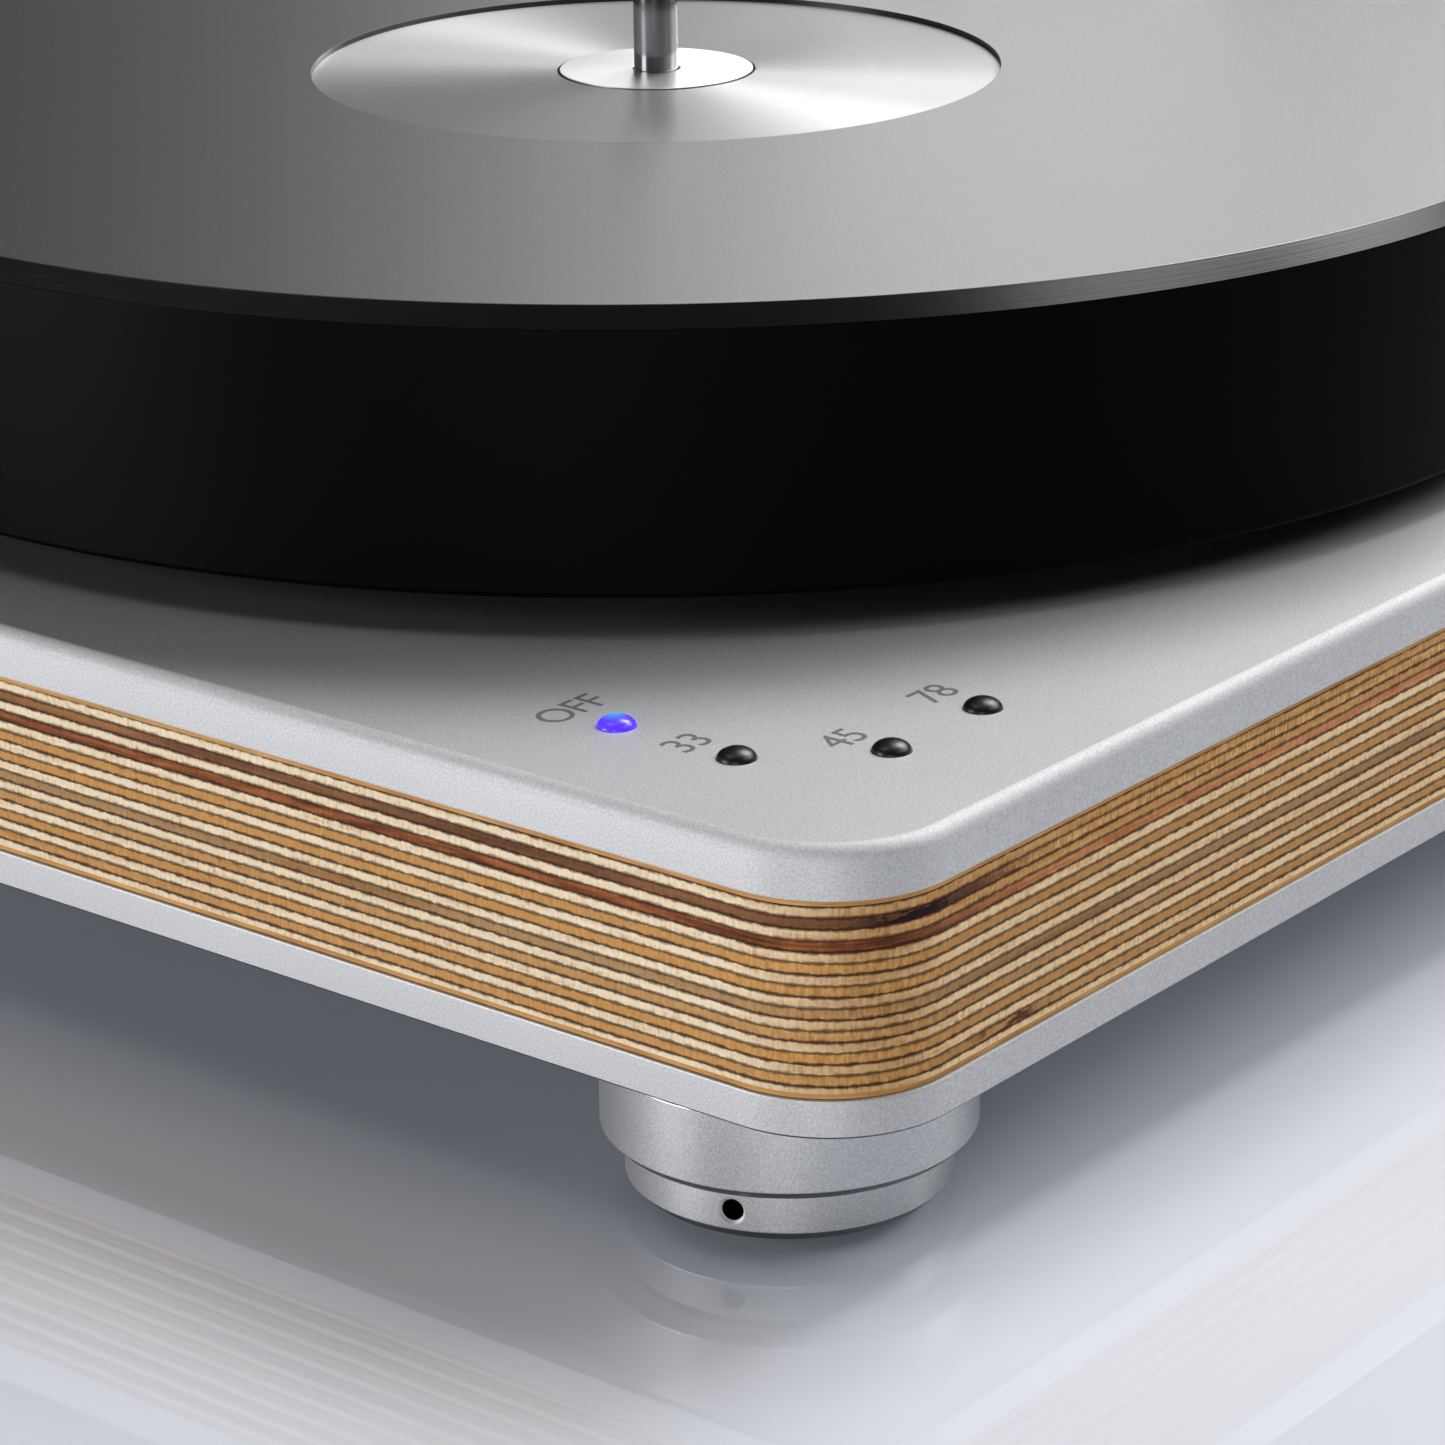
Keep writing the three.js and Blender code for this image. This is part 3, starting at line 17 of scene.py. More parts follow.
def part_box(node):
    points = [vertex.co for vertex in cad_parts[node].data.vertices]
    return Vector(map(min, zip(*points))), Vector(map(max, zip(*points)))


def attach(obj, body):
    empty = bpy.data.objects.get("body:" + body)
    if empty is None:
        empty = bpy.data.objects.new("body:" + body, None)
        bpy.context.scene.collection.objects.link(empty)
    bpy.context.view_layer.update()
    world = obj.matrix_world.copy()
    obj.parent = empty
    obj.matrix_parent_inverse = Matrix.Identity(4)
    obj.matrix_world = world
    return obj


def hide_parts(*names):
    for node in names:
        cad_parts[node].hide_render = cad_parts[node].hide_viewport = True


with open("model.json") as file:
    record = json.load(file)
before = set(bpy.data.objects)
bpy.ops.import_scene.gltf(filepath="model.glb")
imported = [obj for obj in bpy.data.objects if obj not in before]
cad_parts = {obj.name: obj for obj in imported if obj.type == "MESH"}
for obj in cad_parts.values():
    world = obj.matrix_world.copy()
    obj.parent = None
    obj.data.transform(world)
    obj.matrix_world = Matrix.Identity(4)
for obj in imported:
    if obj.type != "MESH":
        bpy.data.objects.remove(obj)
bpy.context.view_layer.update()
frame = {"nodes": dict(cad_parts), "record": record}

bl_info = {
    "name": "Turntable",
    "version": (1, 0, 0),
    "blender": (4, 5, 0),
    "location": "View3D > Sidebar > Turntable",
    "description": "Models and finishes a belt driven turntable piece by piece",
    "category": "Add Mesh",
}

RECORD = frame["record"]
MM = 0.001
FULL_TURN = 2 * math.pi
UP = Vector((0, 0, 1))
# A millimetre to the right and a millimetre to the rear
RIGHT, REAR = Vector((MM, 0, 0)), Vector((0, MM, 0))
# Faces that meet at more than this angle make an edge that is rounded
SHARP = math.radians(30)
# The same for a shape whose curves have coarse facets
VERY_SHARP = 1.0
# Parts that lie on each other are modelled this far apart
SEAM = 0.1 * MM

BUTTONS = ("button_off", "button_33", "button_45", "button_78")
BUTTON_RADIUS = 2.6 * MM

NODE_BODY = {
    node: body
    for body, members in RECORD["behaviour"]["bodies"].items()
    for node in members
}
NODE_SLOT = {entry["node"]: entry["material_slot"] for entry in RECORD["subparts"]}
# The nodes that a modelled piece stands for
STANDS_FOR = set()


def low(node):
    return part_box(node)[0]


def high(node):
    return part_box(node)[1]


def middle(node):
    lowest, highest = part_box(node)
    return (lowest + highest) / 2


def half_width(node):
    return high(node).x - middle(node).x


# Sizes that a user would change


def length(name, description, default):
    return FloatProperty(
        name=name,
        description=description,
        default=default,
        min=0.0,
        unit="LENGTH",
        subtype="DISTANCE",
        precision=5,
    )


def angle(name, description, degrees):
    return FloatProperty(
        name=name, description=description, default=math.radians(degrees), subtype="ANGLE"
    )


def count(name, description, default):
    return IntProperty(name=name, description=description, default=default)


class ChassisSettings(bpy.types.PropertyGroup):
    corner_radius: length("Corner radius", "Upright corners of the plates and the core", 0.018)
    edge_round: length("Edge round", "Rounding of the top plate's upper edge", 0.002)
    edge_break: length("Edge break", "Small chamfer on the other plate edges", 0.0003)
    lower_edge: length("Lower edge", "Chamfer under the bottom plate", 0.0004)
    corner_steps: count("Corner steps", "Facets in a corner", 40)
    veneer: length("Face veneer", "Thickness of the upper face veneer", 0.00058)
    pale_ply: length("Pale ply", "Thickness of a pale cross ply", 0.00144)
    dark_ply: length("Dark ply", "Thickness of a dark ply", 0.00152)
    ply_pairs: count("Ply pairs", "Pale and dark pairs", 8)
    last_pale: length("Last pale ply", "Thickness of the lowest pale ply", 0.00101)


class ButtonSettings(bpy.types.PropertyGroup):
    hole_gap: length("Hole gap", "Gap round each button in the plate", 0.00005)
    letter_height: length("Letter height", "Height of the printed capitals", 0.0049)
    print_thickness: length("Print thickness", "Ink film on the plate", 0.00002)


class PlatterSettings(bpy.types.PropertyGroup):
    rim_bevel_width: length("Rim bevel width", "Slanted band at the top, across", 0.002)
    rim_bevel_height: length("Rim bevel height", "Slanted band at the top, down", 0.003)
    rim_wall: length("Rim wall", "Thickness of the platter's rim", 0.015)
    web: length("Web", "Thickness of the platter's upper wall", 0.016)
    foot_chamfer: length("Foot chamfer", "Chamfer at the bottom of the rim", 0.0008)
    recess_radius: length("Recess radius", "Radius of the label recess", 0.0554)
    recess_depth: length("Recess depth", "Depth of the label recess", 0.00085)
    steps: count("Steps", "Facets round the platter", 360)


class FootSettings(bpy.types.PropertyGroup):
    collar_radius: length("Collar radius", "Narrow collar under the foot body", 0.0185)
    collar_height: length("Collar height", "Height of that collar", 0.0006)
    edge_break: length("Edge break", "Broken edge of the turned parts", 0.0002)
    body_chamfer: length("Body chamfer", "Chamfer under the foot body", 0.0013)
    ring_chamfer: length("Ring chamfer", "Chamfer under the turning ring", 0.0015)
    hole_drop: length("Hole drop", "Middle of the tommy holes under the ring's top", 0.0024)
    hole_radius: length("Hole radius", "Tommy hole in the turning ring", 0.00145)
    hole_rim: length("Hole rim", "Radius of the hole's countersink", 0.00185)
    hole_depth: length("Hole depth", "Depth of the tommy hole", 0.008)
    hole_count: count("Holes", "Tommy holes in a ring", 3)
    hole_angle: angle("Hole angle", "Direction of the first tommy hole in plan", 198)


class ArmSettings(bpy.types.PropertyGroup):
    effective_length: length("Effective length", "From the arm's pivot to the stylus", 0.24)
    head_angle: angle("Head angle", "Offset of the headshell from the tube", 27)


class StageSettings(bpy.types.PropertyGroup):
    lens: FloatProperty(name="Lens", description="Focal length in mm", default=117.85)
    camera_place: FloatVectorProperty(
        name="Camera place",
        description="Where the camera stands",
        default=(-0.6221, -0.4795, 0.2670),
        subtype="TRANSLATION",
        precision=4,
    )
    heading: angle("Heading", "Camera heading from the X axis", 38.91)
    pitch: angle("Pitch", "How far the camera looks down", 20.07)
    roll: angle("Roll", "Camera roll", -0.70)


# Shapes


def transformed(bm, matrix):
    bmesh.ops.transform(bm, matrix=matrix, verts=bm.verts)
    return bm


def moved(bm, way):
    return transformed(bm, Matrix.Translation(way))


def closed_up(bm):
    """Merges doubles, drops loose edges and turns every face outwards."""
    bmesh.ops.remove_doubles(bm, verts=bm.verts, dist=0.001 * MM)
    loose = [e for e in bm.edges if not e.link_faces]
    bmesh.ops.delete(bm, geom=loose, context="EDGES")
    bmesh.ops.recalc_face_normals(bm, faces=bm.faces)
    return bm


def box(lowest, highest):
    bm = bmesh.new()
    bmesh.ops.create_cube(bm, size=1.0)
    size = Vector(highest) - Vector(lowest)
    place = (Vector(highest) + Vector(lowest)) / 2
    return transformed(bm, Matrix.Translation(place) @ Matrix.Diagonal((*size, 1.0)))


def edges_along(bm, axis, above=-1.0):
    """The edges above a level that run along an axis, counted from 0 for X."""
    return [
        e
        for e in bm.edges
        if abs((e.verts[0].co - e.verts[1].co).normalized()[axis]) > 0.99
        and all(v.co.z > above for v in e.verts)
    ]


def rounded(bm, edges, radius, steps):
    bmesh.ops.bevel(
        bm,
        geom=edges,
        offset=radius,
        offset_type="OFFSET",
        affect="EDGES",
        segments=steps,
        profile=0.5,
        material=-1,
        clamp_overlap=True,
    )
    return bm


def softened(bm, radius, steps, bottom=-1.0, top=1.0, least_angle=SHARP):
    """Rounds the sharp edges whose two ends both lie between two levels."""
    edges = [
        e
        for e in bm.edges
        if len(e.link_faces) == 2
        and e.calc_face_angle(0.0) > least_angle
        and all(bottom <= v.co.z <= top for v in e.verts)
    ]
    return rounded(bm, edges, radius, steps)


def rounded_slab(lowest, highest, radius, steps):
    """A flat slab with rounded upright corners."""
    bm = box(lowest, highest)
    return rounded(bm, edges_along(bm, 2), radius, steps)


def stepped(*steps, bore=0):
    """The profile of a round body from its (radius, bottom, top) steps, round a bore."""
    profile = [(bore, steps[0][1])]
    for radius, bottom, top in steps:
        profile += [(radius, bottom), (radius, top)]
    return [*profile, (bore, steps[-1][2])]


def turned(profile, place=(0, 0, 0), steps=96):
    """A round body about an upright axis, from (radius, height) pairs.

    A profile that starts off the axis closes on itself, which leaves a bore."""
    bm = bmesh.new()
    verts = [bm.verts.new((radius, 0, height)) for radius, height in profile]
    pairs = list(zip(verts, verts[1:]))
    if profile[0][0] > 0:
        pairs.append((verts[-1], verts[0]))
    edges = [bm.edges.new(pair) for pair in pairs]
    bmesh.ops.spin(
        bm,
        geom=verts + edges,
        cent=(0, 0, 0),
        axis=(0, 0, 1),
        dvec=(0, 0, 0),
        angle=FULL_TURN,
        steps=steps,
        use_merge=True,
        use_duplicate=False,
    )
    return moved(closed_up(bm), place)


def rod(radius, start, end, steps=48):
    """A round rod between two points."""
    start, end = Vector(start), Vector(end)
    bm = bmesh.new()
    bmesh.ops.create_cone(
        bm,
        cap_ends=True,
        segments=steps,
        radius1=radius,
        radius2=radius,
        depth=(end - start).length,
    )
    turn = UP.rotation_difference(end - start).to_matrix().to_4x4()
    return transformed(bm, Matrix.Translation((start + end) / 2) @ turn)


def as_object(name, bm):
    mesh = bpy.data.meshes.new(name)
    bm.to_mesh(mesh)
    bm.free()
    made = bpy.data.objects.new(name, mesh)
    bpy.context.scene.collection.objects.link(made)
    return made


def shape_of(thing):
    """What an object looks like with its modifiers or its curve worked out."""
    shape = thing.evaluated_get(bpy.context.evaluated_depsgraph_get())
    bm = bmesh.new()
    bm.from_mesh(shape.to_mesh())
    shape.to_mesh_clear()
    return bm


def combined(bm, tools, operation="DIFFERENCE"):
    """Cuts closed shapes out of a closed shape, or joins them to it."""
    body = as_object("body_in_work", bm)
    parts = [as_object("tool_in_work", tool) for tool in tools]
    for part in parts:
        modifier = body.modifiers.new("combine", "BOOLEAN")
        modifier.operation = operation
        modifier.solver = "EXACT"
        modifier.object = part
    result = shape_of(body)
    for used in [body, *parts]:
        mesh = used.data
        bpy.data.objects.remove(used)
        bpy.data.meshes.remove(mesh)
    return result


def joined(bm, *tools):
    return combined(bm, tools, "UNION")


def drawn(curve):
    """The closed shape that a curve or a text makes."""
    line = bpy.data.objects.new(curve.name, curve)
    bpy.context.scene.collection.objects.link(line)
    bm = shape_of(line)
    bpy.data.objects.remove(line)
    bpy.data.curves.remove(curve)
    return closed_up(bm)


def flats_merged(bm, widest=math.radians(0.5)):
    """Merges faces that lie in one plane, so that a bevel runs over them."""
    bmesh.ops.dissolve_limit(
        bm, angle_limit=widest, verts=bm.verts, edges=bm.edges, delimit=set()
    )
    return bm


def laid_along_y(bm, place):
    """Turns a shape that stands upright so that its height runs back along Y."""
    return transformed(bm, Matrix.Translation(place) @ Matrix.Rotation(-math.pi / 2, 4, "X"))


def bar_in_plan(start, end, radius, bottom, top):
    """A flat bar with round ends between two points in plan."""
    start, end = Vector(start).to_3d().xy, Vector(end).to_3d().xy
    span = end - start
    half = span.length / 2 + radius
    bm = box((-half, -radius, bottom), (half, radius, top))
    nearly_round = radius * 0.999
    rounded(bm, edges_along(bm, 2), nearly_round, 24)
    turn = Matrix.Rotation(math.atan2(span.y, span.x), 4, "Z")
    return transformed(bm, Matrix.Translation(((start + end) / 2).to_3d()) @ turn)


def shaded(bm, sharp_angle=math.radians(32)):
    """Smooth faces with crisp edges where they meet at more than the given angle."""
    for face in bm.faces:
        face.smooth = True
    for edge in bm.edges:
        edge.smooth = len(edge.link_faces) == 2 and edge.calc_face_angle(0.0) < sharp_angle
    return bm


def finished(name, bm, nodes, *finishes):
    """Makes the shape a piece that stands for nodes and rides with the first one's body.

    Without a finish it takes the one of the first node's slot."""
    piece = as_object(name, shaded(bm))
    for finish in finishes or [NODE_SLOT[nodes[0]]]:
        piece.data.materials.append(material_for(finish))
    weighted = piece.modifiers.new("flat_faces_stay_flat", "WEIGHTED_NORMAL")
    weighted.mode = "FACE_AREA"
    weighted.keep_sharp = True
    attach(piece, NODE_BODY[nodes[0]])
    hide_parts(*nodes)
    STANDS_FOR.update(nodes)
    return piece


def copy_of(node, edge_round):
    """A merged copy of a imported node, with its edges softened."""
    bm = bmesh.new()
    bm.from_mesh(frame["nodes"][node].data)
    flats_merged(closed_up(bm), math.radians(1))
    return softened(bm, edge_round, 2, least_angle=math.radians(40))


# Node trees


def linear(code):
    """An sRGB hex colour as linear red, green, blue and alpha."""
    parts = [int(code[i : i + 2], 16) / 255 for i in (1, 3, 5)]
    return (*[c / 12.92 if c <= 0.04045 else ((c + 0.055) / 1.055) ** 2.4 for c in parts], 1.0)


def add(tree, kind, inputs=None, **settings):
    """Adds a node, sets its properties, and links or fills its inputs."""
    made = tree.nodes.new(kind)
    for name, value in settings.items():
        setattr(made, name, value)
    for socket, value in (inputs or {}).items():
        if isinstance(value, bpy.types.NodeSocket):
            tree.links.new(value, made.inputs[socket])
        else:
            made.inputs[socket].default_value = value
    return made


def new_material(name):
    """An empty material, its tree and its Object coordinates."""
    material = bpy.data.materials.new(name)
    material.use_nodes = True
    tree = material.node_tree
    tree.nodes.clear()
    place = add(tree, "ShaderNodeTexCoord").outputs["Object"]
    return material, tree, place


def surfaced(material, tree, values):
    """Gives the material one Principled surface with these values, and returns it."""
    surface = add(tree, "ShaderNodeBsdfPrincipled", values)
    add(tree, "ShaderNodeOutputMaterial", {"Surface": surface.outputs[0]})
    return material


def ramp_of(tree, value, *stops):
    """A colour ramp from (position, sRGB hex colour) stops."""
    made = add(tree, "ShaderNodeValToRGB", {0: value})
    elements = made.color_ramp.elements
    while len(elements) < len(stops):
        elements.new(1.0)
    for element, (position, colour) in zip(elements, stops):
        element.position = position
        element.color = linear(colour)
    return made.outputs[0]


def calc(tree, operation, *values, clamp=False):
    made = add(
        tree, "ShaderNodeMath", dict(enumerate(values)), operation=operation, use_clamp=clamp
    )
    return made.outputs[0]


def vector_calc(tree, operation, *values, result="Vector"):
    made = add(tree, "ShaderNodeVectorMath", dict(enumerate(values)), operation=operation)
    return made.outputs[result]


def blend(tree, factor, first, second, how="MIX"):
    made = add(
        tree, "ShaderNodeMix", {0: factor, 6: first, 7: second}, data_type="RGBA", blend_type=how
    )
    return made.outputs[2]


def between(tree, value, low_in, high_in, low_out=0.0, high_out=1.0):
    """Maps one range of a value to another, and holds it within the second."""
    sockets = ("Value", "From Min", "From Max", "To Min", "To Max")
    values = (value, low_in, high_in, low_out, high_out)
    return add(tree, "ShaderNodeMapRange", dict(zip(sockets, values))).outputs[0]


def bump_of(tree, height, strength, depth):
    values = {"Height": height, "Strength": strength, "Distance": depth}
    return add(tree, "ShaderNodeBump", values).outputs[0]


def grain_of(tree, place, size, detail=2.0):
    """Even noise whose features are about the given size."""
    values = {"Vector": place, "Scale": 1 / size, "Detail": detail}
    return add(tree, "ShaderNodeTexNoise", values).outputs["Fac"]


def lines_of(tree, distance, size, detail=2.0):
    """Noise along one distance only, as a turning tool leaves it."""
    values = {"W": distance, "Scale": 1 / size, "Detail": detail}
    return add(tree, "ShaderNodeTexNoise", values, noise_dimensions="1D").outputs["Fac"]


def noise(tree, place, size, detail=2.0, rough=0.5, stretch=(1, 1, 1)):
    """Noise whose features are about the given size, stretched along each axis."""
    scale = [1 / (size * way) for way in stretch]
    squeezed = add(tree, "ShaderNodeMapping", {"Vector": place, "Scale": scale}).outputs[0]
    values = {"Vector": squeezed, "Scale": 1.0, "Detail": detail, "Roughness": rough}
    return add(tree, "ShaderNodeTexNoise", values).outputs["Fac"]


def around_axis(tree, place, centre):
    """The distance from an upright axis, and the direction that runs round it."""
    spoke = vector_calc(tree, "SUBTRACT", place, (centre.x, centre.y, 0))
    flat = vector_calc(tree, "MULTIPLY", spoke, (1, 1, 0))
    distance = vector_calc(tree, "LENGTH", flat, result="Value")
    across = vector_calc(tree, "CROSS_PRODUCT", UP, flat)
    tangent = add(
        tree,
        "ShaderNodeVectorTransform",
        {0: across},
        vector_type="VECTOR",
        convert_from="OBJECT",
        convert_to="WORLD",
    ).outputs[0]
    return distance, tangent


# Materials


def blasted_anodised_aluminium(name, metallic, roughness):
    """Aluminium blasted with fine glass beads, then clear anodised: a soft, even sheen
    with a grain of about a quarter of a millimetre."""
    material, tree, place = new_material(name)
    grain = grain_of(tree, place, 0.28 * MM)
    cloud = grain_of(tree, place, 40 * MM, 3.0)
    tone = calc(tree, "MULTIPLY_ADD", cloud, 0.2, grain)
    values = {
        "Base Color": ramp_of(tree, tone, (0.42, "#b5b6b8"), (0.78, "#d0d1d3")),
        "Metallic": metallic,
        "Roughness": roughness,
        "Normal": bump_of(tree, grain, 0.25, 0.05 * MM),
    }
    return surfaced(material, tree, values)


def plain_metal(name, colour, roughness):
    """Turned, drawn or drilled metal of one tone: its sheen wavers a little from spot to
    spot, as handling leaves it."""
    material, tree, place = new_material(name)
    haze = grain_of(tree, place, 0.5 * MM, 3.0)
    wear = between(tree, haze, 0.0, 1.0, roughness * 0.92, roughness * 1.08)
    values = {"Base Color": linear(colour), "Metallic": 1.0, "Roughness": wear}
    return surfaced(material, tree, values)


def plain_plastic(name, colour, roughness):
    """Moulded plastic or rubber of one tone with a faint, fine texture in its sheen."""
    material, tree, place = new_material(name)
    grain = grain_of(tree, place, 0.3 * MM)
    values = {
        "Base Color": linear(colour),
        "Roughness": roughness,
        "Normal": bump_of(tree, grain, 0.1, 0.05 * MM),
    }
    return surfaced(material, tree, values)


def satin_acetal():
    """Black acetal, faced on a lathe and then blasted: a deep black that turns to an even
    silvery sheen at a low angle, with a very fine grain."""
    material, tree, place = new_material("blasted_black_acetal")
    grain = grain_of(tree, place, 0.45 * MM, 3.0)
    bump = bump_of(tree, grain, 0.3, 0.05 * MM)
    values = {
        "Base Color": linear("#0e0e0f"),
        "Roughness": 0.45,
        "IOR": 1.48,
        "Specular IOR Level": 0.7,
        "Coat Weight": between(tree, grain, 0.35, 0.65, 0.78, 0.96),
        "Coat Roughness": 0.42,
        "Coat IOR": 1.55,
        "Normal": bump,
        "Coat Normal": bump,
    }
    return surfaced(material, tree, values)


def lathe_acetal(name, colour, roughness, specular, pitch, strength):
    """Black acetal as it leaves the turning tool, with faint lines that run round it a
    fraction of a millimetre apart. Left alone its rim is nearly mirror black; rubbed dull
    it drinks the light."""
    material, tree, place = new_material(name)
    height = add(tree, "ShaderNodeSeparateXYZ", {0: place}).outputs["Z"]
    values = {
        "Base Color": linear(colour),
        "Roughness": roughness,
        "IOR": 1.48,
        "Specular IOR Level": specular,
        "Normal": bump_of(tree, lines_of(tree, height, pitch), strength, 0.03 * MM),
    }
    return surfaced(material, tree, values)


def faced_acetal():
    """The label recess: black acetal faced with a fine tool. Its grey, half metallic colour is
    painted sheen, so that seen as low as this its rings mirror almost like dark metal and draw
    each lamp out into soft streaks that fan out on both sides of the spindle."""
    material, tree, place = new_material("faced_acetal_painted_sheen")
    distance, tangent = around_axis(tree, place, middle("platter"))
    rings = lines_of(tree, distance, 2.4 * MM)
    values = {
        # Painted sheen: a grey, half metallic colour on black acetal
        "Base Color": linear("#949495"),
        "Metallic": 0.5,
        "Roughness": between(tree, rings, 0.3, 0.7, 0.43, 0.47),
        "IOR": 1.48,
        "Specular IOR Level": 1.0,
        "Anisotropic": 0.88,
        "Anisotropic Rotation": 0.25,
        "Tangent": tangent,
        "Coat Weight": 0.5,
        "Coat Roughness": 0.3,
    }
    return surfaced(material, tree, values)


def faced_steel():
    """The hub disc: steel faced on a lathe, bright, with a short sheen round the spindle."""
    material, tree, place = new_material("faced_stainless_steel")
    distance, tangent = around_axis(tree, place, middle("hub_disc"))
    rings = lines_of(tree, distance, 0.5 * MM, 3.0)
    values = {
        "Base Color": linear("#f2f2f3"),
        "Metallic": 1.0,
        "Roughness": between(tree, rings, 0.0, 1.0, 0.34, 0.4),
        "Anisotropic": 0.2,
        "Tangent": tangent,
    }
    return surfaced(material, tree, values)


def birch_plywood():
    """Birch plywood sanded fine and oiled: cream cross plies between tan and red brown
    ones, ragged dark glue lines between them, and a tan face veneer above and below."""
    material, tree, place = new_material("birch_plywood")
    run, tones, mix, span = (partial(make, tree) for make in (calc, ramp_of, blend, between))
    veined = partial(noise, tree, place)
    settings = bpy.context.scene.turntable_chassis
    pair = settings.pale_ply + settings.dark_ply
    x, y, height = add(tree, "ShaderNodeSeparateXYZ", {0: place}).outputs

    # Which pair of plies a point lies in, and how deep in it; the plies are not quite flat
    sway = run("SUBTRACT", veined(70 * MM, 1.0), 0.5)
    ragged = run("SUBTRACT", veined(1.0 * MM, 4.0, 0.6, (1, 1, 0.6)), 0.5)
    depth = run("SUBTRACT", high("wood_core").z - settings.veneer, height)
    swayed = run("MULTIPLY_ADD", sway, 0.7 * MM, depth)
    edge = run("MULTIPLY_ADD", ragged, 0.42 * MM, swayed)
    number = run("FLOOR", run("DIVIDE", edge, pair))
    within = run("SUBTRACT", edge, run("MULTIPLY", number, pair))
    is_dark = run("GREATER_THAN", within, settings.pale_ply)

    # The front left corner, where the cut runs across the grain
    corner_x = low("wood_core").x + settings.corner_radius
    corner_y = low("wood_core").y + settings.corner_radius
    round_front = span(x, corner_x - 15 * MM, corner_x - 2 * MM)
    toward_left = span(x, corner_x + 3 * MM, corner_x - 8 * MM)
    toward_front = span(y, corner_y + 2 * MM, corner_y - 14 * MM)
    corner = run("MULTIPLY", toward_left, toward_front, clamp=True)

    fibre = veined(0.5 * MM, 4.0, 0.6, (1, 1, 4))
    along = veined(9 * MM, 3.0, 0.55, (1, 1, 0.08))
    slow = veined(38 * MM, 2.0, 0.5, (1, 1, 0.06))
    tint, other_tint = (
        add(
            tree,
            "ShaderNodeTexWhiteNoise",
            {"W": run("ADD", number, shift)},
            noise_dimensions="1D",
        ).outputs["Value"]
        for shift in (0.0, 11.0)
    )

    # The pale plies: cream along the left side, warmer round the corner and in front
    creamy = run("MULTIPLY_ADD", fibre, 0.6, run("MULTIPLY", along, 0.4))
    cream = tones(creamy, (0.34, "#c9a878"), (0.46, "#e2ccaa"), (0.62, "#efdec2"))
    warm_cream = tones(creamy, (0.34, "#c79c66"), (0.48, "#ecca98"), (0.62, "#f4dcb2"))
    gold = tones(creamy, (0.36, "#a9743c"), (0.60, "#d6a566"))
    pale = mix(round_front, cream, warm_cream)
    near_top = run("LESS_THAN", number, 1.5)
    pale = mix(run("MULTIPLY", near_top, round_front), pale, gold)
    pale = mix(run("MULTIPLY", corner, 0.8), pale, gold)

    # The dark plies: tan, each one a little different; the first is umber, the second
    # mahogany
    streaks = run("MULTIPLY_ADD", along, 0.35, run("MULTIPLY", slow, 0.4))
    tan = tones(
        run("MULTIPLY_ADD", tint, 0.35, streaks),
        (0.30, "#8d673e"),
        (0.48, "#a07645"),
        (0.62, "#b98c58"),
        (0.80, "#bd7f41"),
    )
    greyed = run("MULTIPLY", other_tint, span(slow, 0.35, 0.6), clamp=True)
    tan = mix(run("MULTIPLY", greyed, 0.7), tan, linear("#a2835c"))
    tan = mix(span(tint, 0.45, 0.75, 0.0, 0.5), tan, linear("#b98541"))
    tan = mix(run("MULTIPLY", corner, 0.5), tan, gold)
    mahogany = tones(along, (0.30, "#45200f"), (0.50, "#74401f"), (0.68, "#96592c"))
    salmon = tones(along, (0.35, "#a8673a"), (0.65, "#c98c5a"))
    mahogany = mix(span(x, corner_x - 8 * MM, corner_x + 22 * MM), mahogany, salmon)
    umber = tones(slow, (0.30, "#4f2f1c"), (0.50, "#6f482c"), (0.70, "#8f6338"))
    umber = mix(span(x, corner_x + 6 * MM, corner_x + 22 * MM), umber, gold)
    first = run("LESS_THAN", number, 0.5)
    second = run("COMPARE", number, 1.0, 0.1)
    last = run("COMPARE", number, settings.ply_pairs - 1.0, 0.1)
    dark = mix(first, mix(second, tan, mahogany), umber)

    # Dark flaws on the front side: the ply, from and to past the corner, and the colour
    figure = span(veined(3.0 * MM, 3.0, 0.6, (1, 1, 0.3)), 0.44, 0.54)
    on_front = span(y, corner_y + 2 * MM, corner_y - 6 * MM)
    flaws = (
        (first, -13 * MM, 5 * MM, "#1a0c07"),
        (first, 4 * MM, 18 * MM, "#713a1a"),
        (last, 5 * MM, 21 * MM, "#5f2c17"),
    )
    for ply, start, end, colour in flaws:
        offset = run("SUBTRACT", x, corner_x + (start + end) / 2)
        away = run("DIVIDE", run("ABSOLUTE", offset), (end - start) / 2)
        spots = run("MULTIPLY", span(away, 1.0, 0.5), figure)
        there = run("MULTIPLY", ply, spots, clamp=True)
        dark = mix(run("MULTIPLY", there, on_front), dark, linear(colour))
    grain = span(fibre, 0.3, 0.7, 0.88, 1.3)
    grey = add(tree, "ShaderNodeCombineColor", {0: grain, 1: grain, 2: grain}).outputs[0]
    dark = mix(1.0, dark, grey, "MULTIPLY")
    ply = mix(is_dark, pale, dark)

    # The glue lines: strong under a dark ply, weaker above it
    thick = span(veined(1.6 * MM, 3.0, 0.65), 0.32, 0.68, 0.14 * MM, 0.46 * MM)
    lower = run("MINIMUM", within, run("SUBTRACT", pair, within))
    upper = run("ABSOLUTE", run("SUBTRACT", within, settings.pale_ply))
    lower_line, upper_line = (
        run("SUBTRACT", 1.0, run("DIVIDE", away, thick), clamp=True) for away in (lower, upper)
    )
    line = run("MAXIMUM", lower_line, run("MULTIPLY", upper_line, 0.75))
    glued = mix(run("POWER", line, 0.5), ply, linear("#330f04"))

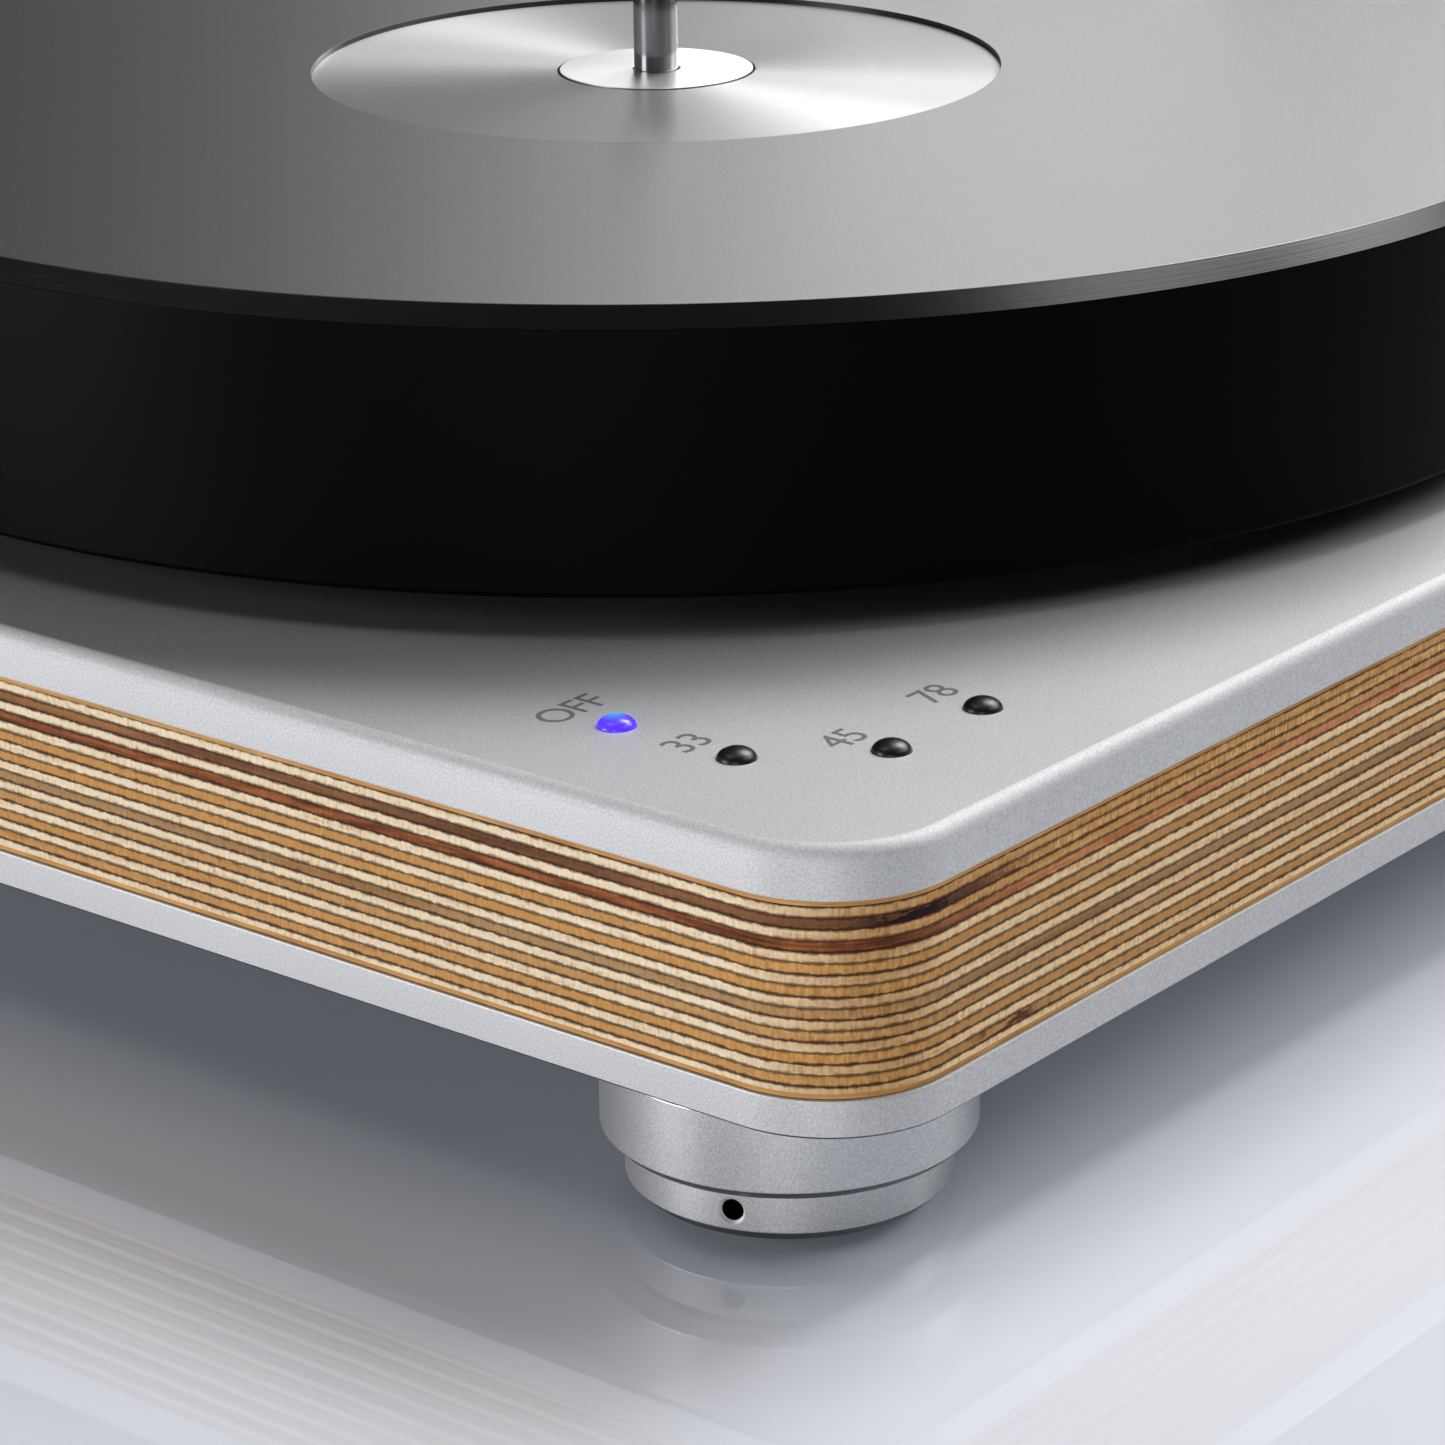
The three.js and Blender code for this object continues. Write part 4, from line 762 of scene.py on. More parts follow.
    above = run("LESS_THAN", depth, 0.0)
    below = run("GREATER_THAN", depth, settings.ply_pairs * pair + settings.last_pale)
    veneer = tones(along, (0.3, "#ac793f"), (0.7, "#d2a266"))
    values = {
        "Base Color": mix(run("MAXIMUM", above, below), glued, veneer),
        "Roughness": 0.6,
        "Specular IOR Level": 0.15,
        "Normal": bump_of(tree, fibre, 0.35, 0.08 * MM),
    }
    return surfaced(material, tree, values)


def printed_ink():
    """Screen printed grey ink: matt, a film a few hundredths thick with a faint mottle."""
    material, tree, place = new_material("printed_grey_ink")
    mottle = grain_of(tree, place, 0.2 * MM)
    colour = ramp_of(tree, mottle, (0.3, "#5e5e60"), (0.7, "#747476"))
    return surfaced(material, tree, {"Base Color": colour, "Roughness": 0.6})


def blue_lens():
    """A moulded lens lit from below: violet blue, with a cyan spot where the lamp under it
    shines through."""
    material, tree, place = new_material("lit_lens")
    centre = middle("button_off")
    spot = Vector((centre.x + 0.2 * MM, centre.y + 0.5 * MM, high("button_off").z - 0.1 * MM))
    away = vector_calc(tree, "DISTANCE", place, spot, result="Value")
    glow = ramp_of(
        tree,
        between(tree, away, 0.0, 3.4 * MM),
        (0.0, "#3fb0ff"),
        (0.3, "#4988ff"),
        (0.55, "#5a3eff"),
        (1.0, "#5a2bf0"),
    )
    values = {
        "Base Color": linear("#2a1ed0"),
        "Roughness": 0.25,
        "Emission Color": glow,
        "Emission Strength": 1.0,
    }
    return surfaced(material, tree, values)


def floor_gloss():
    """Pale lacquered board: even grey with a soft mirror."""
    material, tree, place = new_material("pale_gloss_floor")
    cloud = grain_of(tree, place, 0.5)
    rays = add(tree, "ShaderNodeLightPath").outputs
    seen = calc(tree, "MAXIMUM", rays["Is Camera Ray"], rays["Is Glossy Ray"])
    seen = calc(tree, "MAXIMUM", seen, rays["Is Transmission Ray"])
    values = {
        "Base Color": ramp_of(tree, cloud, (0.0, "#d0d3da"), (1.0, "#d6d9e0")),
        "Roughness": 0.025,
        "Emission Color": linear("#a8afba"),
        "Emission Strength": calc(tree, "MULTIPLY", seen, 0.085),
    }
    return surfaced(material, tree, values)


# How each finish is made: the function and what it is given
FINISHES = {
    # The plates: blasted, soft and pale
    "chassis_aluminium": (blasted_anodised_aluminium, "blasted_anodised_aluminium", 0.35, 0.5),
    # The top plate's rounded edge: the same, yet it gathers less of the lamps
    "plate_edge": (blasted_anodised_aluminium, "blasted_edge_aluminium", 0.12, 0.6),
    # The feet: blasted after turning, more metallic than the plates
    "foot_aluminium": (blasted_anodised_aluminium, "turned_blasted_aluminium", 0.8, 0.42),
    # The tonearm, its base and the sub-platter: bright aluminium as turned
    "turned_aluminium": (plain_metal, "turned_aluminium", "#d0d1d4", 0.28),
    "birch": (birch_plywood,),
    # The platter's bevel and underside: black acetal as turned, nearly a mirror
    "black_acetal": (
        lathe_acetal, "turned_black_acetal", "#050506", 0.28, 1.0, 0.33 * MM, 0.6
    ),
    # The platter's rim: rubbed dull, so that it drinks the light
    "dull_acetal": (lathe_acetal, "dull_black_acetal", "#020203", 0.5, 0.04, 0.5 * MM, 0.1),
    "satin_acetal": (satin_acetal,),
    "faced_acetal": (faced_acetal,),
    "faced_steel": (faced_steel,),
    "ink": (printed_ink,),
    "lit_lens": (blue_lens,),
    # The panel, the inlet, the arm rest and the cartridge: black with a soft sheen
    "black_plastic": (plain_plastic, "black_abs", "#161618", 0.4),
    # The three dark buttons: black with a small, bright glint
    "gloss_black": (plain_plastic, "gloss_black_acrylic", "#0c0c0d", 0.36),
    # The spindle, the shafts and the arm's pillar: a clear, dark mirror
    "polished_steel": (plain_metal, "polished_steel", "#b2b2b6", 0.1),
    # Chamfers that look down: the same metal painted darker, as painted shade
    "painted_shade_step": (plain_metal, "turned_step_aluminium", "#727376", 0.35),
    # The rim of a tommy hole: freshly cut and pale
    "countersink": (plain_metal, "countersunk_aluminium", "#f0f0f2", 0.55),
    # The inside of a bore: metal that sees little light, painted dark as painted shade
    "bore_painted_shade": (plain_metal, "drilled_bore_shade", "#26272a", 0.5),
    # The counterweight, its shaft, the lift and the screws: nearly black steel
    "dark_steel": (plain_metal, "blackened_steel", "#3c3d40", 0.35),
    # The bushes, the sockets and the pulley: warm bronze
    "bronze": (plain_metal, "bronze", "#b98a4a", 0.3),
    # The pads, the belt and the motor's ring: dull black rubber
    "black_rubber": (plain_plastic, "black_rubber", "#101011", 0.7),
    # The leads' jackets: rubber with a faint sheen
    "cable_rubber": (plain_plastic, "cable_jacket", "#141415", 0.6),
    # The circuit board: green lacquer over glass cloth
    "board": (plain_plastic, "glass_epoxy", "#1f4a33", 0.4),
    # The phono sockets' insulators: moulded white for left, red for right
    "phono_socket_left_insulator": (
        plain_plastic, "phono_socket_left_insulator", "#e8e6e0", 0.35
    ),
    "phono_socket_right_insulator": (
        plain_plastic, "phono_socket_right_insulator", "#a61c1c", 0.35
    ),
}
MADE = {}


def material_for(finish):
    """The material of a finish, made once."""
    if finish not in MADE:
        make, *values = FINISHES[finish]
        MADE[finish] = make(*values)
    return MADE[finish]



# Pieces


def drill(node, radius, bottom, top):
    """An upright cutter about the middle of a node."""
    x, y, _ = middle(node)
    return rod(radius, (x, y, bottom), (x, y, top), 64)


def shaft_holes(motor_radius, bottom, top):
    """The cutters for the main bearing, the motor and the arm's pillar."""
    bearing_radius, gap = 15.3 * MM, 0.3 * MM
    return [
        drill("bearing_bush_lower", bearing_radius, bottom, top),
        drill("motor_can", motor_radius, bottom, top),
        drill("arm_pillar", half_width("arm_pillar") + gap, bottom, top),
    ]


def pocket_over(node, top):
    """A cutter with a millimetre of room round a node, open above."""
    lowest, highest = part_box(node)
    return box(lowest - Vector((1, 1, 0.1)) * MM, (highest.x + MM, highest.y + MM, top))


def shade_steps(bm, centre):
    """Gives the second material, painted shade, to the chamfers that look down and outward."""
    for face in bm.faces:
        outward = face.calc_center_median() - centre
        outward.z = 0
        if -0.85 < face.normal.z < -0.5 and face.normal.dot(outward.normalized()) > 0.4:
            face.material_index = 1


class TURNTABLE_OT_plates(bpy.types.Operator):
    """Models the top plate with its openings, and the bottom plate"""

    bl_idname = "turntable.plates"
    bl_label = "Plates"

    def execute(self, context):
        s = context.scene.turntable_chassis
        lowest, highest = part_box("top_plate")
        bm = rounded_slab(lowest, highest, s.corner_radius, s.corner_steps)
        softened(bm, s.edge_round, 8, bottom=highest.z - SEAM)
        softened(bm, s.edge_break, 2, top=lowest.z + SEAM)
        bottom, top = lowest.z - MM, highest.z + MM
        button_hole = BUTTON_RADIUS + context.scene.turntable_button.hole_gap
        motor_shaft_hole = 8 * MM
        cutters = [drill(button, button_hole, bottom, top) for button in BUTTONS]
        bm = combined(bm, cutters + shaft_holes(motor_shaft_hole, bottom, top))
        for face in bm.faces:
            if 0.05 < face.normal.z < 0.98:
                face.material_index = 1
        finished("top_plate_body", bm, ["top_plate"], "chassis_aluminium", "plate_edge")

        lowest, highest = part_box("bottom_plate")
        bm = rounded_slab(lowest, highest, s.corner_radius, s.corner_steps)
        softened(bm, s.lower_edge, 1, top=lowest.z + SEAM)
        softened(bm, s.edge_break, 2, bottom=highest.z - SEAM)
        # The chamfer under the bottom plate gets painted shade
        shade_steps(bm, middle("bottom_plate"))
        finished("bottom_plate_body", bm, ["bottom_plate"], "chassis_aluminium", "painted_shade_step")
        return {"FINISHED"}


class TURNTABLE_OT_core(bpy.types.Operator):
    """Models the layered core with its pockets and channels"""

    bl_idname = "turntable.core"
    bl_label = "Core"

    def execute(self, context):
        s = context.scene.turntable_chassis
        lowest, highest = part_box("wood_core")
        bottom, top = lowest.z - MM, highest.z + MM
        motor_room = 20 * MM
        panel_low, panel_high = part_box("output_panel")
        room = 0.3 * MM
        pocket_low = panel_low - Vector((room, SEAM, room))
        pocket_high = Vector((panel_high.x + room, highest.y + MM, panel_high.z + room))
        across = Vector((2 * middle("output_panel").x, 0, 0))

        # The supply lead's channel: along the left, across, and back to the inlet
        first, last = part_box("supply_lead")
        floor = low("motor_lead").z - SEAM
        front, left, right = first.y - 6 * MM, first.x - MM, last.x + MM
        bend_front, bend_back = last.y - 15 * MM, last.y - 9 * MM
        cutters = [
            *shaft_holes(motor_room, bottom, top),
            pocket_over("control_board", top),
            box(pocket_low, pocket_high),
            box(pocket_low - across, pocket_high - across),
            pocket_over("motor_lead", top),
            pocket_over("signal_lead", top),
            box((left, front, floor), (first.x + 5 * MM, bend_back, top)),
            box((left, bend_front, floor), (right, bend_back, top)),
            box((last.x - 5 * MM, bend_front, first.z - MM), (right, pocket_low.y + MM, top)),
        ]
        bm = rounded_slab(lowest, highest, s.corner_radius - 0.5 * MM, s.corner_steps)
        finished("layered_core", combined(bm, cutters), ["wood_core"])
        return {"FINISHED"}


class TURNTABLE_OT_buttons(bpy.types.Operator):
    """Models the four dome buttons"""

    bl_idname = "turntable.buttons"
    bl_label = "Buttons"

    def execute(self, context):
        plate_top = high("top_plate").z
        flange_top = low("top_plate").z - SEAM
        flange_bottom = flange_top - 0.8 * MM
        stem, flange, facets = 1.1 * MM, 3.6 * MM, 12
        for node in BUTTONS:
            bottom, top = low(node).z, high(node).z
            rise = top - plate_top
            dome = [
                (BUTTON_RADIUS * math.cos(turn), plate_top + rise * math.sin(turn))
                for turn in (i / facets * math.pi / 2 for i in range(1, facets))
            ]
            profile = [
                *stepped((stem, bottom, flange_bottom), (flange, flange_bottom, flange_top))[:-1],
                (BUTTON_RADIUS, flange_top),
                (BUTTON_RADIUS, plate_top),
                *dome,
                (0, top),
            ]
            x, y, _ = middle(node)
            finished(node + "_dome", turned(profile, (x, y, 0), 64), [node])
        return {"FINISHED"}


class TURNTABLE_OT_legends(bpy.types.Operator):
    """Prints the plain labels beside the buttons"""

    bl_idname = "turntable.legends"
    bl_label = "Labels"

    def execute(self, context):
        s = context.scene.turntable_button
        capital_share, letter_spacing = 0.7, 0.93
        film = 0.005 * MM
        level = high("top_plate").z + s.print_thickness / 2 + film
        # The words, and how far to the right of and behind the button they stand, in mm
        labels = {
            "button_off": ("OFF", 1.3, 8.8),
            "button_33": ("33", 0.5, 8.5),
            "button_45": ("45", -0.4, 7.6),
            "button_78": ("78", 0.6, 8.3),
        }
        for node, (words, right, behind) in labels.items():
            curve = bpy.data.curves.new(node + "_words", "FONT")
            curve.body = words
            curve.size = s.letter_height / capital_share
            curve.align_x = curve.align_y = "CENTER"
            curve.offset = film
            curve.space_character = letter_spacing
            curve.extrude = s.print_thickness / 2
            bm = drawn(curve)
            across, along, _ = zip(*(v.co for v in bm.verts))
            centre = Vector((min(across) + max(across), min(along) + max(along), 0)) / 2
            x, y, _ = middle(node)
            moved(bm, Vector((x + right * MM, y + behind * MM, level)) - centre)
            label = as_object(node + "_label", shaded(bm))
            label.data.materials.append(material_for("ink"))
            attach(label, "chassis")
        return {"FINISHED"}


class TURNTABLE_OT_platter(bpy.types.Operator):
    """Models the platter with its label recess, the hub disc and the spindle"""

    bl_idname = "turntable.platter"
    bl_label = "Platter"

    def execute(self, context):
        s = context.scene.turntable_platter
        centre = middle("platter")
        axis = Vector((centre.x, centre.y, 0))
        bottom, top = low("platter").z, high("platter").z
        radius = half_width("platter")
        bore, hub_room = 3.85 * MM, 15.9 * MM
        hub_floor = low("hub_disc").z - SEAM
        profile = [
            (radius - s.rim_wall, bottom),
            (radius - s.foot_chamfer, bottom),
            (radius, bottom + s.foot_chamfer),
            (radius, top - s.rim_bevel_height),
            (radius - s.rim_bevel_width, top),
            (s.recess_radius, top),
            (s.recess_radius, top - s.recess_depth),
            (hub_room, top - s.recess_depth),
            (hub_room, hub_floor),
            (bore, hub_floor),
            (bore, top - s.web),
            (radius - s.rim_wall, top - s.web),
        ]
        bm = turned(profile, axis, s.steps)
        softened(bm, 0.12 * MM, 2, least_angle=math.radians(25))
        near = 0.01 * MM
        for face in bm.faces:
            level = face.calc_center_median().z
            if face.normal.z > 0.99 and level > top - near:
                face.material_index = 1
            elif face.normal.z > 0.99 and level > top - s.recess_depth - near:
                face.material_index = 2
            elif face.normal.z < 0.8 and level < top - s.rim_bevel_height + 10 * near:
                face.material_index = 3
        finishes = ("black_acetal", "satin_acetal", "faced_acetal", "dull_acetal")
        finished("platter_body", bm, ["platter"], *finishes)

        lowest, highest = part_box("hub_disc")
        disc = stepped((15.6 * MM, lowest.z, highest.z), bore=bore)
        bm = softened(turned(disc, axis, 128), 0.15 * MM, 2)
        finished("hub_disc_body", bm, ["hub_disc"], "faced_steel")

        lowest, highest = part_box("spindle")
        shoulder = high("sub_platter").z - 6.0 * MM
        pin = stepped((6.0 * MM, lowest.z, shoulder), (3.55 * MM, shoulder, highest.z))
        bm = softened(turned(pin, axis, 64), 1.4 * MM, 6, bottom=highest.z - SEAM)
        finished("spindle_pin", bm, ["spindle"])
        return {"FINISHED"}


class TURNTABLE_OT_feet(bpy.types.Operator):
    """Models the three levelling feet"""

    bl_idname = "turntable.feet"
    bl_label = "Feet"

    def execute(self, context):
        s = context.scene.turntable_foot
        stud, stud_room, pin, pin_room = 5.0 * MM, 5.3 * MM, 2.5 * MM, 2.8 * MM
        for place in ("front_left", "front_right", "rear"):
            body, ring, pad = (part + place for part in ("foot_body_", "foot_ring_", "foot_pad_"))
            centre = middle(body)
            ground = Vector((centre.x, centre.y, 0))
            radius = half_width(body)
            bottom, top = low(body).z, high(body).z
            step = bottom + s.collar_height
            stud_top = high(ring).z
            profile = [
                (0, stud_top + 0.5 * MM),
                (stud_room, stud_top + 0.5 * MM),
                (stud_room, bottom),
                (s.collar_radius, bottom),
                (s.collar_radius, step),
                (radius - s.body_chamfer, step),
                (radius, step + s.body_chamfer),
                (radius, top),
                (0, top),
            ]
            bm = softened(turned(profile, ground, 128), s.edge_break, 2)
            # The chamfer under the foot body gets painted shade
            shade_steps(bm, centre)
            finished(body + "_shell", bm, [body], "foot_aluminium", "painted_shade_step")

            bottom, top = low(ring).z, low(body).z - SEAM
            radius = half_width(ring)
            pin_top = high(pad).z + 0.3 * MM
            profile = [
                (0, pin_top),
                (pin_room, pin_top),
                (pin_room, bottom),
                (radius - s.ring_chamfer, bottom),
                (radius, bottom + s.ring_chamfer),
                (radius, top),
                (stud, top),
                (stud, stud_top),
                (0, stud_top),
            ]
            bm = softened(turned(profile, ground, 128), s.edge_break, 2)
            tools, mouths = [], []
            sink = s.hole_rim - s.hole_radius
            drilled = [
                (0, -s.hole_depth),
                (s.hole_radius, -s.hole_depth),
                (s.hole_radius, -sink),
                (s.hole_rim + sink, sink),
                (0, sink),
            ]
            for i in range(s.hole_count):
                heading = s.hole_angle + i * FULL_TURN / s.hole_count
                out = Vector((math.cos(heading), math.sin(heading), 0))
                mouth = ground + out * radius + UP * (top - s.hole_drop)
                aimed = UP.rotation_difference(out).to_matrix().to_4x4()
                tool = transformed(turned(drilled, steps=48), Matrix.Translation(mouth) @ aimed)
                tools.append(tool)
                mouths.append((mouth, out))
            bm = combined(bm, tools)
            # The chamfer under the ring and the bores get painted shade
            shade_steps(bm, centre)
            self.shade_holes(bm, mouths, s.hole_rim + 0.1 * MM)
            finishes = ("foot_aluminium", "painted_shade_step", "bore_painted_shade", "countersink")
            finished(ring + "_shell", bm, [ring], *finishes)

            disc_top = low(ring).z - SEAM
            profile = stepped((half_width(pad), 0, disc_top), (pin, disc_top, high(pad).z))
            bm = softened(turned(profile, ground, 96), 0.15 * MM, 2)
            finished(pad + "_disc", bm, [pad])
        return {"FINISHED"}

    def shade_holes(self, bm, mouths, reach):
        """Gives the third material, painted shade, to the bores and the fourth to their
        countersinks.
        """
        lip, far_side = -1 * MM, -10 * MM
        for face in bm.faces:
            for mouth, out in mouths:
                way = face.calc_center_median() - mouth
                inward = way.dot(out)
                aside = (way - out * inward).length
                slant = abs(face.normal.dot(out))
                if aside > reach or inward < far_side:
                    continue
                if slant < 0.3 or inward < lip:
                    face.material_index = 2
                elif slant < 0.95:
                    face.material_index = 3


class TURNTABLE_OT_connections(bpy.types.Operator):
    """Models the output panel, its sockets and terminal, and the supply inlet"""

    bl_idname = "turntable.connections"
    bl_label = "Rear connections"

    def execute(self, context):
        lowest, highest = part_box("output_panel")
        sockets = ("phono_socket_left", "phono_socket_right")
        tools = []
        for node in (*sockets, "ground_terminal"):
            x, _, z = middle(node)
            start = Vector((x, lowest.y - MM, z))
            tools.append(rod(2.3 * MM, start, start + 4 * REAR))
        bm = combined(softened(box(lowest, highest), 0.3 * MM, 2), tools)
        finished("output_panel_plate", bm, ["output_panel"])

        for node in sockets:
            centre = middle(node)
            back = low(node).y
            long = high(node).y - back
            shell = long - 10 * MM
            stem, flange, barrel, mouth, hole = (r * MM for r in (2, 4.2, 3.9, 3.1, 1.7))
            profile = [
                (0, 0),
                (stem, 0),
                (stem, shell),
                (flange, shell),
                (flange, shell + 1.4 * MM),
                (barrel, shell + 1.9 * MM),
                (barrel, long - 0.5 * MM),
                (3.6 * MM, long),
                (mouth, long),
                (mouth, long - 0.6 * MM),
                (hole, long - 0.6 * MM),
                (hole, long - 8 * MM),
                (0, long - 8 * MM),
            ]
            bm = turned(profile, steps=64)
            near = 0.01 * MM
            for face in bm.faces:
                spoke = face.calc_center_median()
                between_rims = hole + near < spoke.xy.length < mouth - near
                if spoke.z > long - 0.7 * MM and between_rims:
                    face.material_index = 1
            laid_along_y(bm, (centre.x, back, centre.z))
            finished(node + "_shell", bm, [node], "bronze", node + "_insulator")

        node = "ground_terminal"
        centre = middle(node)
        back = low(node).y
        knob = highest.y + SEAM - back
        knob_end = knob + 5 * MM
        stem = 2 * MM
        profile = stepped(
            (stem, 0, knob), (3.6 * MM, knob, knob_end), (stem, knob_end, high(node).y - back)
        )
        bm = softened(turned(profile, steps=64), 0.25 * MM, 2)
        laid_along_y(bm, (centre.x, back, centre.z))
        finished("ground_terminal_knob", bm, [node])

        lowest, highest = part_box("supply_inlet")
        centre = middle("supply_inlet")
        mouth = Vector((centre.x, highest.y, centre.z))
        bm = softened(box(lowest, highest), 0.4 * MM, 2)
        bm = combined(bm, [rod(3.1 * MM, mouth - 9 * REAR, mouth + REAR)])
        bm = joined(bm, rod(1.0 * MM, mouth - 11 * REAR, mouth - 0.3 * REAR))
        finished("supply_inlet_body", bm, ["supply_inlet"])
        return {"FINISHED"}


class TURNTABLE_OT_arm_base(bpy.types.Operator):
    """Models the tonearm's base, pillar, clamp screw, deck and dial"""

    bl_idname = "turntable.arm_base"
    bl_label = "Tonearm base"

    def execute(self, context):
        axis = middle("arm_pillar")
        ground = Vector((axis.x, axis.y, 0))
        pillar_room = 11.3 * MM
        lowest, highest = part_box("arm_base")
        flange_top = lowest.z + 6 * MM
        steps = ((26 * MM, lowest.z, flange_top), (16 * MM, flange_top, highest.z))
        bm = softened(turned(stepped(*steps, bore=pillar_room), ground, 128), 0.5 * MM, 3)
        start = ground + UP * middle("arm_clamp_screw").z
        bm = combined(bm, [rod(2.5 * MM, start, start + 20 * RIGHT)])
        finished("arm_base_body", bm, ["arm_base"])

        end = start + 19 * RIGHT
        bm = softened(rod(2.2 * MM, start + 11.3 * RIGHT, end, 48), 0.3 * MM, 2)
        socket = rod(1.25 * MM, end - 1.6 * RIGHT, end + RIGHT, 6)
        finished("arm_clamp_screw_body", combined(bm, [socket]), ["arm_clamp_screw"])

        lowest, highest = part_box("arm_pillar")
        shoulder = highest.z - 4 * MM
        steps = ((11 * MM, lowest.z, shoulder), (6 * MM, shoulder, highest.z))
        bm = softened(turned(stepped(*steps, bore=3 * MM), ground, 96), 0.3 * MM, 2)
        finished("arm_pillar_body", bm, ["arm_pillar"])

        bottom = low("arm_deck").z
        top = bottom + 6 * MM
        lift = middle("lift_housing")
        dial = middle("anti_skate_dial")
        level = middle("cue_lever").z
        lug = Vector((axis.x + 7.9 * MM, lift.y - 4.5 * MM, bottom))
        lug_right, lug_back = lug.x + 4 * MM, lug.y + 9 * MM
        hub = rod(17 * MM, ground + UP * bottom, ground + UP * top, 96)
        ear = box(lug, (lug_right, lug_back, level + 4 * MM))
        rounded(ear, edges_along(ear, 0, above=level), 4.2 * MM, 12)
        wings = [
            bar_in_plan(ground, ground - 75 * REAR, 7 * MM, bottom, top),
            bar_in_plan(ground, lift, 7.1 * MM, bottom, top),
            bar_in_plan(ground, dial, 9 * MM, bottom, top),
            box((axis.x, lug.y, bottom), (lug_right, lug_back, top)),
            ear,
        ]
        axle = Vector((axis.x, lift.y, level))
        under, over = bottom - MM, top + MM
        tools = [
            rod(pillar_room, ground + UP * under, ground + UP * over, 96),
            rod(2.3 * MM, (dial.x, dial.y, under), (dial.x, dial.y, over)),
            rod(2.3 * MM, axle, axle + 14 * RIGHT),
        ]
        bm = flats_merged(combined(joined(hub, *wings), tools))
        softened(bm, 0.4 * MM, 2, top - SEAM, top + SEAM, VERY_SHARP)
        finished("arm_deck_body", bm, ["arm_deck"])

        lowest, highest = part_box("anti_skate_dial")
        face = highest.z - 7 * MM
        profile = stepped((2 * MM, lowest.z, face), (7.5 * MM, face, highest.z))
        bm = softened(turned(profile, (dial.x, dial.y, 0), 96), 0.4 * MM, 2, face - SEAM)
        grooves, groove_circle, groove_length = 12, 8 * MM, 8 * MM
        tools = []
        for i in range(grooves):
            turn = i * FULL_TURN / grooves
            out = Vector((math.cos(turn), math.sin(turn), 0)) * groove_circle
            spot = Vector((dial.x, dial.y, face)) + out
            tools.append(rod(MM, spot, spot + UP * groove_length, 24))
        mark = Vector((dial.x, dial.y, highest.z))
        mark_low, mark_high = Vector((-0.3, -6.5, -0.3)) * MM, Vector((0.3, -3.2, 1)) * MM
        tools.append(box(mark + mark_low, mark + mark_high))
        finished("anti_skate_dial_knob", combined(bm, tools), ["anti_skate_dial"])
        return {"FINISHED"}


